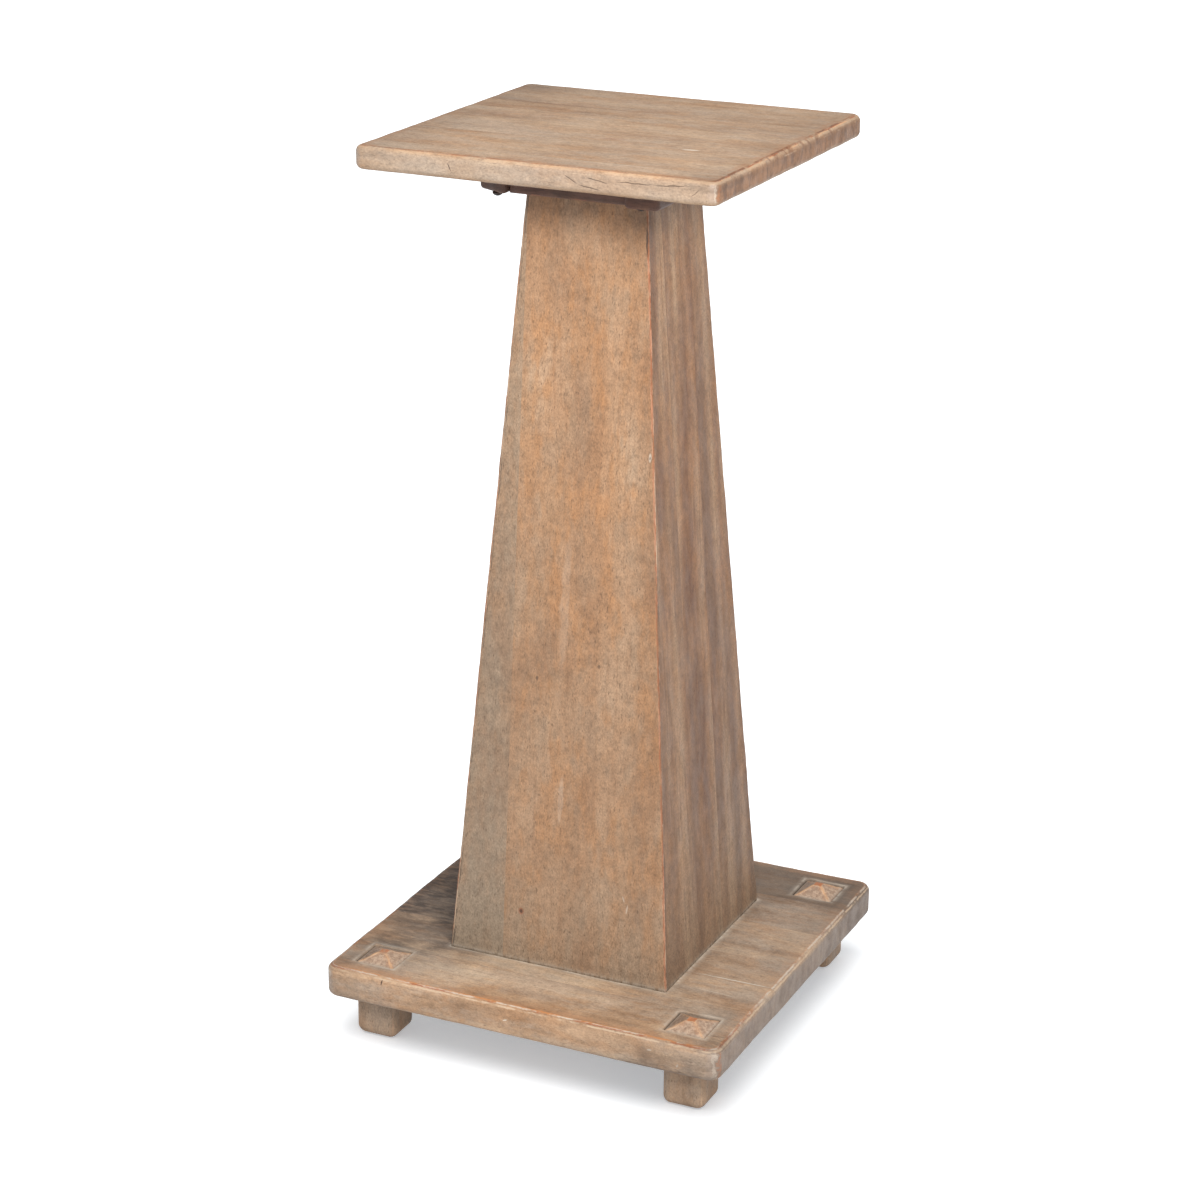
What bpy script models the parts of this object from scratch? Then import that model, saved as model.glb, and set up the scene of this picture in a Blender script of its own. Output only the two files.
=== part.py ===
"""Plinth pedestal in weathered wood: a tapered box column between a square top board and a square base.

The origin is the middle of the floor under the pedestal, +Z is up, and the front of the column faces -Y.
All lengths are in metres.
"""

import math

import bmesh
import bpy

# Overall height, floor to the upper face of the top board
HEIGHT = 0.9144
# Gap left between two pieces that touch
GAP = 0.0003

# Top board
TOP_SIDE = 0.3675
TOP_THICKNESS = 0.023
TOP_CORNER_RADIUS = 0.011
TOP_EDGE_RADIUS = 0.006

# Base board
BASE_SIDE = 0.4324
BASE_THICKNESS = 0.0336
BASE_CORNER_RADIUS = 0.015
BASE_EDGE_RADIUS = 0.006

# Foot posts: a square foot, a through tenon and a worn pyramid head that shows on the base
FOOT_SIDE = 0.0453
FOOT_HEIGHT = 0.0475
FOOT_INSET = 0.0232
FOOT_CORNER_RADIUS = 0.006
FOOT_EDGE_RADIUS = 0.005
TENON_SIDE = 0.0425
TENON_CORNER_RADIUS = 0.003
HEAD_SINK = 0.002
HEAD_RISE = 0.0085
HEAD_FLAT = 0.007
HEAD_RIDGE_RADIUS = 0.0015
MORTISE_EASING = 0.0015

# Tapered box column: four mitred boards
COLUMN_FOOT_SIDE = 0.241
COLUMN_HEAD_SIDE = 0.1255
COLUMN_WALL = 0.020
COLUMN_ARRIS_RADIUS = 0.002

# Mounting board on the column's head, and the two cleats that hold it under the top
MOUNT_WIDTH = 0.122
MOUNT_LENGTH = 0.208
MOUNT_THICKNESS = 0.025
MOUNT_EDGE_RADIUS = 0.0015
CLEAT_WIDTH = 0.0355
CLEAT_LENGTH = 0.232
CLEAT_CORNER_RADIUS = 0.006
CLEAT_EDGE_RADIUS = 0.003
# The left cleat's front end is sawn askew, so its outer side is shorter by this much
CLEAT_SKEW = 0.018

# Cleat screws: domed pan heads
SCREW_HEAD_DIAMETER = 0.010
SCREW_HEAD_HEIGHT = 0.0038
SCREW_SHANK_DIAMETER = 0.004
SCREW_BITE = 0.012
SCREW_FROM_INNER_SIDE = 0.0125
SCREW_FROM_END = 0.014

# Fineness of the rounded forms
CORNER_STEPS = 6
EDGE_STEPS = 3
SCREW_STEPS = 16
DOME_STEPS = 4
# How far a cutter runs past the face that it cuts through
OVERRUN = 0.005
# Points closer together than this are merged where a turned shape meets its axis
MERGE_DISTANCE = 0.00005
# A Bevel rounds only edges sharper than this
SHARP_ANGLE = math.radians(40)

# Heights that follow from the driving dimensions
BASE_LOW = FOOT_HEIGHT + GAP
BASE_HIGH = BASE_LOW + BASE_THICKNESS
TOP_LOW = HEIGHT - TOP_THICKNESS
MOUNT_HIGH = TOP_LOW - GAP
MOUNT_LOW = MOUNT_HIGH - MOUNT_THICKNESS
COLUMN_LOW = BASE_HIGH + GAP
COLUMN_HIGH = MOUNT_LOW - GAP

# Places that follow from the driving dimensions
FOOT_CENTRE = BASE_SIDE / 2 - FOOT_INSET - FOOT_SIDE / 2
CLEAT_CENTRE = MOUNT_WIDTH / 2 + GAP + CLEAT_WIDTH / 2
SCREW_X = MOUNT_WIDTH / 2 + GAP + SCREW_FROM_INNER_SIDE
SCREW_Y = CLEAT_LENGTH / 2 - SCREW_FROM_END


def clear_scene():
    for obj in list(bpy.data.objects):
        bpy.data.objects.remove(obj, do_unlink=True)


def new_collection(name, hidden):
    collection = bpy.data.collections.new(name)
    bpy.context.scene.collection.children.link(collection)
    collection.hide_render = hidden
    return collection


def wood(name, colour, roughness):
    material = bpy.data.materials.new(name)
    material.use_nodes = True
    shader = material.node_tree.nodes["Principled BSDF"]
    shader.inputs["Base Color"].default_value = (*colour, 1.0)
    shader.inputs["Roughness"].default_value = roughness
    shader.inputs["Metallic"].default_value = 0.0
    return material


def dark_steel(name):
    material = bpy.data.materials.new(name)
    material.use_nodes = True
    shader = material.node_tree.nodes["Principled BSDF"]
    shader.inputs["Base Color"].default_value = (0.02, 0.02, 0.022, 1.0)
    shader.inputs["Roughness"].default_value = 0.45
    shader.inputs["Metallic"].default_value = 0.9
    return material


def add_object(name, mesh, collection):
    obj = bpy.data.objects.new(name, mesh)
    collection.objects.link(obj)
    return obj


def finish_mesh(name, bm):
    bmesh.ops.recalc_face_normals(bm, faces=bm.faces)
    mesh = bpy.data.meshes.new(name)
    bm.to_mesh(mesh)
    bm.free()
    return mesh


def box(low_size, high_size, low, high):
    """A box from the primitive cube; its upper face may be smaller than its lower one."""
    bm = bmesh.new()
    bmesh.ops.create_cube(bm, size=1.0)
    for vert in bm.verts:
        size = high_size if vert.co.z > 0 else low_size
        vert.co.x *= size[0]
        vert.co.y *= size[1]
        vert.co.z = high if vert.co.z > 0 else low
    return bm


def upright_edges(bm):
    """The edges that run from a lower level to a higher one."""
    return [edge for edge in bm.edges if edge.verts[0].co.z != edge.verts[1].co.z]


def round_edges(bm, edges, radius, steps):
    bmesh.ops.bevel(
        bm, geom=edges, offset=radius, segments=steps, profile=0.5, affect="EDGES", clamp_overlap=True
    )


def round_rims(obj, radius):
    """Rounds the rims that the rounded upright corners leave sharp."""
    bevel = obj.modifiers.new("rim rounding", "BEVEL")
    bevel.width = radius
    bevel.segments = EDGE_STEPS
    bevel.limit_method = "ANGLE"
    bevel.angle_limit = SHARP_ANGLE


def board(name, size, thickness, low, corner_radius, edge_radius, collection):
    """A flat board with rounded plan corners and rounded rims."""
    bm = box(size, size, low, low + thickness)
    round_edges(bm, upright_edges(bm), corner_radius, CORNER_STEPS)
    obj = add_object(name, finish_mesh(name, bm), collection)
    round_rims(obj, edge_radius)
    return obj


def cutter(name, mesh, collection):
    obj = add_object(name, mesh, collection)
    obj.hide_render = True
    obj.display_type = "WIRE"
    return obj


def boolean(obj, other, operation):
    modifier = obj.modifiers.new(other.name, "BOOLEAN")
    modifier.operation = operation
    modifier.object = other
    modifier.solver = "EXACT"


def baked_mesh(obj, name):
    """The object's mesh with its modifiers applied, for copies that share it."""
    graph = bpy.context.evaluated_depsgraph_get()
    mesh = bpy.data.meshes.new_from_object(obj.evaluated_get(graph))
    mesh.name = name
    return mesh


def foot_places():
    """Name and plan position of each foot post."""
    for depth, y in (("front", -FOOT_CENTRE), ("back", FOOT_CENTRE)):
        for side, x in (("left", -FOOT_CENTRE), ("right", FOOT_CENTRE)):
            yield f"{depth}_{side}", x, y


def screw_places():
    """Name and plan position of each cleat screw."""
    for depth, y in (("front", -SCREW_Y), ("back", SCREW_Y)):
        for side, x in (("left", -SCREW_X), ("right", SCREW_X)):
            yield f"{depth}_{side}", x, y


def foot_post_mesh(cutters):
    """A square foot, a tenon through the base and a pyramid head with worn ridges."""
    foot_bm = box((FOOT_SIDE, FOOT_SIDE), (FOOT_SIDE, FOOT_SIDE), 0.0, FOOT_HEIGHT)
    round_edges(foot_bm, upright_edges(foot_bm), FOOT_CORNER_RADIUS, CORNER_STEPS)
    foot = cutter("foot block", finish_mesh("foot block", foot_bm), cutters)
    round_rims(foot, FOOT_EDGE_RADIUS)

    shoulder = BASE_HIGH - HEAD_SINK
    tenon_low = FOOT_HEIGHT - OVERRUN
    tenon_bm = box((TENON_SIDE, TENON_SIDE), (TENON_SIDE, TENON_SIDE), tenon_low, shoulder)
    crown = [face for face in tenon_bm.faces if face.normal.z > 0.5]
    raised = bmesh.ops.extrude_face_region(tenon_bm, geom=crown)
    bmesh.ops.delete(tenon_bm, geom=crown, context="FACES_ONLY")
    for item in raised["geom"]:
        if isinstance(item, bmesh.types.BMVert):
            item.co.x *= HEAD_FLAT / TENON_SIDE
            item.co.y *= HEAD_FLAT / TENON_SIDE
            item.co.z = BASE_HIGH + HEAD_RISE
    lower = [edge for edge in upright_edges(tenon_bm) if min(v.co.z for v in edge.verts) < FOOT_HEIGHT]
    round_edges(tenon_bm, lower, TENON_CORNER_RADIUS, EDGE_STEPS)
    head_verts = [vert for vert in tenon_bm.verts if vert.co.z > BASE_HIGH]
    head_edges = {edge for vert in head_verts for edge in vert.link_edges}
    round_edges(tenon_bm, list(head_edges), HEAD_RIDGE_RADIUS, EDGE_STEPS)
    tenon = cutter("tenon", finish_mesh("tenon", tenon_bm), cutters)

    boolean(foot, tenon, "UNION")
    return baked_mesh(foot, "foot post")


def build_foot_posts(collection, cutters, material):
    mesh = foot_post_mesh(cutters)
    mesh.materials.clear()
    mesh.materials.append(material)
    for place, x, y in foot_places():
        post = add_object(f"foot_post_{place}", mesh, collection)
        post.location = (x, y, 0.0)


def mortise_mesh(name, low_side, high_side, low):
    """A cutter for a square hole that opens through the base's upper face."""
    bm = box((low_side, low_side), (high_side, high_side), low, BASE_HIGH + OVERRUN)
    round_edges(bm, upright_edges(bm), TENON_CORNER_RADIUS + GAP, EDGE_STEPS)
    return finish_mesh(name, bm)


def build_base_board(collection, cutters, material):
    base = board(
        "base_board",
        (BASE_SIDE, BASE_SIDE),
        BASE_THICKNESS,
        BASE_LOW,
        BASE_CORNER_RADIUS,
        BASE_EDGE_RADIUS,
        collection,
    )
    side = TENON_SIDE + 2 * GAP
    hole = mortise_mesh("mortise", side, side, BASE_LOW - OVERRUN)
    # The eased rim flares by one easing over the depth of one easing, and on past the surface
    flared_side = side + 2 * (MORTISE_EASING + OVERRUN)
    rim = mortise_mesh("mortise rim", side, flared_side, BASE_HIGH - MORTISE_EASING)
    for place, x, y in foot_places():
        for mesh in (hole, rim):
            tool = cutter(f"{mesh.name} {place}", mesh, cutters)
            tool.location = (x, y, 0.0)
            boolean(base, tool, "DIFFERENCE")
    base.data.materials.append(material)


def build_column(collection, cutters, material):
    """Four boards cut from one tapered shell by the diagonal mitre planes."""
    height = COLUMN_HIGH - COLUMN_LOW
    slope = math.atan2((COLUMN_FOOT_SIDE - COLUMN_HEAD_SIDE) / 2, height)
    level_wall = COLUMN_WALL / math.cos(slope)
    shell_bm = box(
        (COLUMN_FOOT_SIDE, COLUMN_FOOT_SIDE), (COLUMN_HEAD_SIDE, COLUMN_HEAD_SIDE), COLUMN_LOW, COLUMN_HIGH
    )
    round_edges(shell_bm, upright_edges(shell_bm), COLUMN_ARRIS_RADIUS, EDGE_STEPS)
    shell = cutter("column shell", finish_mesh("column shell", shell_bm), cutters)

    # The hollow keeps the column's slope where it runs past both ends
    grow = 2 * OVERRUN * math.tan(slope)
    hollow_foot = COLUMN_FOOT_SIDE - 2 * level_wall + grow
    hollow_head = COLUMN_HEAD_SIDE - 2 * level_wall - grow
    hollow_bm = box(
        (hollow_foot, hollow_foot), (hollow_head, hollow_head), COLUMN_LOW - OVERRUN, COLUMN_HIGH + OVERRUN
    )
    boolean(shell, cutter("column hollow", finish_mesh("column hollow", hollow_bm), cutters), "DIFFERENCE")

    # A square block turned by 45 degrees holds everything between the two front mitre planes
    block_side = COLUMN_FOOT_SIDE
    block_low = COLUMN_LOW - 2 * OVERRUN
    block_high = COLUMN_HIGH + 2 * OVERRUN
    block_bm = box((block_side, block_side), (block_side, block_side), block_low, block_high)
    block = cutter("mitre block", finish_mesh("mitre block", block_bm), cutters)
    block.rotation_euler.z = math.radians(45)
    block.location.y = -(block_side + GAP) / math.sqrt(2)
    boolean(shell, block, "INTERSECT")
    bpy.context.view_layer.update()

    mesh = baked_mesh(shell, "column board")
    mesh.materials.clear()
    mesh.materials.append(material)
    for turns, side in enumerate(("front", "right", "back", "left")):
        piece = add_object(f"column_board_{side}", mesh, collection)
        piece.rotation_euler.z = math.radians(90 * turns)


def screw_mesh(shank_radius, head_radius, head_height):
    """A turned screw: a domed head below the cleat and a plain shank up through it."""
    bm = bmesh.new()
    profile = [(0.0, MOUNT_THICKNESS + SCREW_BITE), (shank_radius, MOUNT_THICKNESS + SCREW_BITE)]
    profile += [(shank_radius, -GAP), (head_radius, -GAP)]
    for step in range(1, DOME_STEPS):
        angle = math.pi / 2 * step / DOME_STEPS
        profile.append((head_radius * math.cos(angle), -GAP - head_height * math.sin(angle)))
    profile.append((0.0, -GAP - head_height))
    verts = [bm.verts.new((radius, 0.0, level)) for radius, level in profile]
    for first, second in zip(verts, verts[1:]):
        bm.edges.new((first, second))
    mesh = bpy.data.meshes.new("cleat screw")
    bm.to_mesh(mesh)
    bm.free()
    return mesh


def turn(obj):
    screw = obj.modifiers.new("turned shape", "SCREW")
    screw.axis = "Z"
    screw.steps = SCREW_STEPS
    screw.render_steps = SCREW_STEPS
    screw.use_merge_vertices = True
    screw.merge_threshold = MERGE_DISTANCE


def hole_cutter(name, x, y, cutters):
    """A round hole for a screw's shank, through the cleat and on into the top board."""
    bm = bmesh.new()
    depth = MOUNT_THICKNESS + SCREW_BITE + GAP + OVERRUN
    radius = SCREW_SHANK_DIAMETER / 2 + GAP
    bmesh.ops.create_cone(
        bm, cap_ends=True, segments=SCREW_STEPS, radius1=radius, radius2=radius, depth=depth
    )
    tool = cutter(name, finish_mesh(name, bm), cutters)
    tool.location = (x, y, MOUNT_LOW - OVERRUN + depth / 2)
    return tool


def build_head(collection, cutters, dark_wood, steel, top_wood):
    """Top board, mounting board, cleats and the screws that hold the cleats to the top."""
    top = board(
        "top_board",
        (TOP_SIDE, TOP_SIDE),
        TOP_THICKNESS,
        TOP_LOW,
        TOP_CORNER_RADIUS,
        TOP_EDGE_RADIUS,
        collection,
    )
    top.data.materials.append(top_wood)
    mount = board(
        "mounting_board",
        (MOUNT_WIDTH, MOUNT_LENGTH),
        MOUNT_THICKNESS,
        MOUNT_LOW,
        MOUNT_EDGE_RADIUS,
        MOUNT_EDGE_RADIUS,
        collection,
    )
    mount.data.materials.append(dark_wood)

    cleats = {}
    for side, sign in (("left", -1), ("right", 1)):
        bm = box((CLEAT_WIDTH, CLEAT_LENGTH), (CLEAT_WIDTH, CLEAT_LENGTH), MOUNT_LOW, MOUNT_HIGH)
        if side == "left":
            for vert in bm.verts:
                if vert.co.x < 0 and vert.co.y < 0:
                    vert.co.y += CLEAT_SKEW
        round_edges(bm, upright_edges(bm), CLEAT_CORNER_RADIUS, CORNER_STEPS)
        cleat = add_object(f"cleat_{side}", finish_mesh(f"cleat {side}", bm), collection)
        cleat.location.x = sign * CLEAT_CENTRE
        round_rims(cleat, CLEAT_EDGE_RADIUS)
        cleat.data.materials.append(dark_wood)
        cleats[side] = cleat

    mesh = screw_mesh(SCREW_SHANK_DIAMETER / 2, SCREW_HEAD_DIAMETER / 2, SCREW_HEAD_HEIGHT)
    mesh.materials.append(steel)
    for place, x, y in screw_places():
        screw = add_object(f"cleat_screw_{place}", mesh, collection)
        screw.location = (x, y, MOUNT_LOW)
        turn(screw)
        tool = hole_cutter(f"screw hole {place}", x, y, cutters)
        boolean(cleats[place.split("_")[1]], tool, "DIFFERENCE")
        boolean(top, tool, "DIFFERENCE")


def shade(collection):
    """Round surfaces shade smooth and flat faces keep their crisp borders."""
    for mesh in {obj.data for obj in collection.objects}:
        mesh.shade_smooth()
        mesh.set_sharp_from_angle(angle=SHARP_ANGLE)


def main():
    clear_scene()
    parts = new_collection("plinth_pedestal", hidden=False)
    cutters = new_collection("cutters", hidden=True)
    top_wood = wood("top wood", (0.42, 0.29, 0.19), 0.6)
    column_wood = wood("column wood", (0.38, 0.24, 0.15), 0.6)
    base_wood = wood("base wood", (0.33, 0.24, 0.17), 0.62)
    foot_wood = wood("foot wood", (0.35, 0.25, 0.17), 0.62)
    shaded_wood = wood("shaded wood", (0.12, 0.07, 0.05), 0.65)
    build_base_board(parts, cutters, base_wood)
    build_foot_posts(parts, cutters, foot_wood)
    build_column(parts, cutters, column_wood)
    build_head(parts, cutters, shaded_wood, dark_steel("screw steel"), top_wood)
    shade(parts)


main()
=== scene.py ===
import math

import bpy
import numpy as np
from mathutils import Matrix, Vector


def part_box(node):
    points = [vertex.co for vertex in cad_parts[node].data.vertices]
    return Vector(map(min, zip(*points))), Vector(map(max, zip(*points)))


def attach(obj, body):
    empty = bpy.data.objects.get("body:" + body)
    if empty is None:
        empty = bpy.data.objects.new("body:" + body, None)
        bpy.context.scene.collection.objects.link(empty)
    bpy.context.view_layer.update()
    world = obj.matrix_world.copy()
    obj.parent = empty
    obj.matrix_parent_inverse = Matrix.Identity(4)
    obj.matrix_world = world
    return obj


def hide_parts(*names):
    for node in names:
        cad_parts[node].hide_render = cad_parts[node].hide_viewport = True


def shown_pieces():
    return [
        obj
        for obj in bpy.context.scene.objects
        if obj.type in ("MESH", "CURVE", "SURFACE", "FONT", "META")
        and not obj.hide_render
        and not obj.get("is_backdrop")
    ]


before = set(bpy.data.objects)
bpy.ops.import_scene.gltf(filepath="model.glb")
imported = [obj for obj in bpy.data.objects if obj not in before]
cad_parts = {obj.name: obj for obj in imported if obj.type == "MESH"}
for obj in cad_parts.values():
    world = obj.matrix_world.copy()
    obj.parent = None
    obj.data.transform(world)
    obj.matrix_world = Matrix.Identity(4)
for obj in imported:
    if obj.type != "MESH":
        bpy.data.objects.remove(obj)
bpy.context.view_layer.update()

# %% [markdown]
# The photograph was taken with a long lens, from the right of the front and a little above the top. A camera could be
# turned by eye until the edges agree. Here its direction, distance and lens were worked out from the straight edges
# of the real thing, so they are written as angles and metres, and the picture then lines up edge for edge.
# %% Camera at the photograph's angle
PICTURE_SIDE = 1200
FOCAL_LENGTH = 3077.07 / PICTURE_SIDE
SENSOR = 36.0
TURN = math.radians(24.7249)
RISE = math.radians(19.6656)
ROLL = math.radians(0.5407)
DISTANCE = 3.1917
AIM = Vector((-0.05027, 0.08497, 0.40296))


def aim_camera():
    """Makes the scene's camera look back along a line given by its turn, rise and roll."""
    away = Vector((math.sin(TURN) * math.cos(RISE), -math.cos(TURN) * math.cos(RISE), math.sin(RISE)))
    level = Vector((math.cos(TURN), math.sin(TURN), 0.0))
    upright = away.cross(level)
    side = math.cos(ROLL) * level + math.sin(ROLL) * upright
    top = math.cos(ROLL) * upright - math.sin(ROLL) * level
    camera = bpy.data.objects.new("camera", bpy.data.cameras.new("camera"))
    bpy.context.scene.collection.objects.link(camera)
    camera.data.sensor_width = SENSOR
    camera.data.lens = FOCAL_LENGTH * SENSOR
    turned = Matrix((side, top, away)).transposed().to_4x4()
    camera.matrix_world = Matrix.Translation(AIM + away * DISTANCE) @ turned
    bpy.context.scene.camera = camera
    return camera


camera = aim_camera()
print("camera height", round(camera.matrix_world.translation.z, 2), "m, lens", round(camera.data.lens, 1), "mm")

# %% [markdown]
# The studio is a white sweep under broad soft light. An even sky gives the shadowless side of the light. One large
# lamp stands beside the camera, level with the top: it gives the front more light than the right side, throws no
# shadow of the top down the column, and leaves the back left of the base in the column's shade. Another, as wide as
# an overcast sun, turns the paper white around a soft grey pool under the base. The standard view transform keeps the paper
# white and the wood its own colour.
# %% Floor, sky and lamps
FLOOR_HALF = 30.0
FLOOR_WHITE = 0.95
FLOOR_GLOW = (0.30, 0.325, 0.35, 1.0)
SKY_STRENGTH = 0.62
LAMP_AWAY = 2.6
LAMP_SIZE = 1.2
WOOD_LAMP = {"kind": "AREA", "turn": 33.0, "rise": 40.0, "power": 107.0}
PAPER_LAMP = {"kind": "SUN", "turn": 10.0, "rise": 75.0, "power": 1.9}
LAMP_TARGET = Vector((0.0, 0.0, 0.65))
SUN_WIDTH = math.radians(52)


def lay_floor():
    mesh = bpy.data.meshes.new("studio floor")
    ends = (-FLOOR_HALF, FLOOR_HALF)
    corners = [(ends[0], ends[0], 0.0), (ends[1], ends[0], 0.0), (ends[1], ends[1], 0.0), (ends[0], ends[1], 0.0)]
    mesh.from_pydata(corners, [], [(0, 1, 2, 3)])
    floor = bpy.data.objects.new("studio_floor", mesh)
    bpy.context.scene.collection.objects.link(floor)
    paper = bpy.data.materials.new("white paper")
    paper.use_nodes = True
    surface = paper.node_tree.nodes["Principled BSDF"]
    surface.inputs["Base Color"].default_value = (FLOOR_WHITE, FLOOR_WHITE, FLOOR_WHITE, 1.0)
    surface.inputs["Roughness"].default_value = 1.0
    surface.inputs["Specular IOR Level"].default_value = 0.0
    surface.inputs["Emission Color"].default_value = FLOOR_GLOW
    surface.inputs["Emission Strength"].default_value = 1.0
    mesh.materials.append(paper)
    floor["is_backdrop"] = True
    return floor


def hang_lamp(name, kind, turn, rise, power):
    """Hangs a soft lamp that looks at the pedestal, turned to the right of the front and raised, in degrees."""
    data = bpy.data.lights.new(name, kind)
    data.energy = power
    if kind == "AREA":
        data.size = LAMP_SIZE
    else:
        data.angle = SUN_WIDTH
    lamp = bpy.data.objects.new(name, data)
    bpy.context.scene.collection.objects.link(lamp)
    turn, rise = math.radians(turn), math.radians(rise)
    back = Vector((math.sin(turn) * math.cos(rise), -math.cos(turn) * math.cos(rise), math.sin(rise)))
    lamp.rotation_euler = back.to_track_quat("Z", "Y").to_euler()
    lamp.location = LAMP_TARGET + back * LAMP_AWAY
    return lamp


def light_sky():
    sky = bpy.data.worlds.new("white sky")
    sky.use_nodes = True
    sky.node_tree.nodes["Background"].inputs["Color"].default_value = (1.0, 1.0, 1.0, 1.0)
    sky.node_tree.nodes["Background"].inputs["Strength"].default_value = SKY_STRENGTH
    bpy.context.scene.world = sky
    bpy.context.scene.view_settings.view_transform = "Standard"


studio_floor = lay_floor()
light_sky()
wood_lamp = hang_lamp("wood lamp", **WOOD_LAMP)
paper_lamp = hang_lamp("paper lamp", **PAPER_LAMP)
print("lamps at", [[round(part, 2) for part in lamp.location] for lamp in (wood_lamp, paper_lamp)])

# %% [markdown]
# Blender's noise and colour live in shader nodes. Wiring them one by one is long, so a few helpers come first: each
# adds one node, plugs in what it is given, whether a number or another node's output, and hands back its output.
# %% Shader helpers
def paint(red, green, blue):
    """A colour mixed on a 0 to 255 scale, as the linear light that shaders work in."""
    shares = [channel / 255 for channel in (red, green, blue)]
    return (*[share / 12.92 if share < 0.04045 else ((share + 0.055) / 1.055) ** 2.4 for share in shares], 1.0)


def feed(tree, socket, value):
    if isinstance(value, bpy.types.NodeSocket):
        tree.links.new(value, socket)
    else:
        socket.default_value = value


def maths(tree, operation, *values):
    node = tree.nodes.new("ShaderNodeMath")
    node.operation = operation
    for socket, value in zip(node.inputs, values):
        feed(tree, socket, value)
    return node.outputs[0]


def vectors(tree, operation, first, second):
    node = tree.nodes.new("ShaderNodeVectorMath")
    node.operation = operation
    feed(tree, node.inputs[0], first)
    feed(tree, node.inputs[1], second)
    return node.outputs[0]


def between(tree, value, low, high, start=0.0, end=1.0):
    """Runs smoothly from start to end as the value goes from low to high, and no further."""
    node = tree.nodes.new("ShaderNodeMapRange")
    node.interpolation_type = "SMOOTHSTEP"
    for socket, given in zip(node.inputs, (value, low, high, start, end)):
        feed(tree, socket, given)
    return node.outputs[0]


def mix(tree, share, first, second, way="MIX"):
    """Mixes two colours."""
    node = tree.nodes.new("ShaderNodeMix")
    node.data_type = "RGBA"
    node.blend_type = way
    for index, value in ((0, share), (6, first), (7, second)):
        feed(tree, node.inputs[index], value)
    return node.outputs[2]


def cloud(tree, place, stretch, detail=2.0, roughness=0.5):
    """Noise whose cells are 1 / stretch metres long on each axis of the place."""
    node = tree.nodes.new("ShaderNodeTexNoise")
    node.inputs["Scale"].default_value = 1.0
    node.inputs["Detail"].default_value = detail
    node.inputs["Roughness"].default_value = roughness
    feed(tree, node.inputs["Vector"], vectors(tree, "MULTIPLY", place, stretch))
    return node


print("white paint is", [round(channel, 2) for channel in paint(255, 255, 255)])

# %% [markdown]
# Wood grain belongs to the board and not to the room, so every wooden mesh carries a "grain" value at each point:
# metres along the grain, across the board and into it. It carries more facts: how far the point is round the
# nearest worn edge ("rim"), how worn that edge is ("wear") and how red ("red"), how bare the upright corners are
# ("corner"), how thick the wash stayed ("wash"), how much dirt and painted shade darken it ("grime"),
# where pale wax has dried ("wax"), and how much the cut ends of the fibres show ("end_grain"). Shaders read them
# by name.
# %% Reading what a mesh carries
def carried(tree, name):
    node = tree.nodes.new("ShaderNodeAttribute")
    node.attribute_name = name
    return node


def parts_of(tree, vector):
    node = tree.nodes.new("ShaderNodeSeparateXYZ")
    feed(tree, node.inputs[0], vector)
    return node.outputs


def stepped(tree, across, seams, values):
    """One value for each plank: it changes where the board's across measure passes a seam."""
    total = values[0]
    for seam, before, after in zip(seams, values, values[1:]):
        step = maths(tree, "GREATER_THAN", across, seam)
        total = maths(tree, "ADD", maths(tree, "MULTIPLY", step, after - before), total)
    return total


print("facts on each wooden mesh: grain, rim, wear, red, corner, wash, grime, wax, end_grain")

# %% [markdown]
# The body of the wood is built in layers, from wide to fine: long streaks and rounder clouds of brown, warm and pale
# wood; a ripple across the grain; a soft mottle; fine fibres; and the dark dashes of pores that open hardwoods show.
# An image could give all this, but nodes keep it sharp at any distance and let each board be different.
# %% Streaks, clouds, ripple, fibres and pores
GRAIN_DRIFT = 0.016
STREAK_LENGTH = 2.2
CLOUD_STRETCH = (8.0, 19.0, 19.0)
MOTTLE_STRETCH = (120.0, 165.0, 165.0)
FIBRE_STRETCH = (420.0, 640.0, 640.0)
PORE_STRETCH = (200.0, 760.0, 760.0)
VEIN_STRETCH = (13.0, 300.0, 300.0)
OCHRE_STRETCH = (16.0, 42.0, 42.0)
OCHRE = paint(152, 106, 66)


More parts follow.
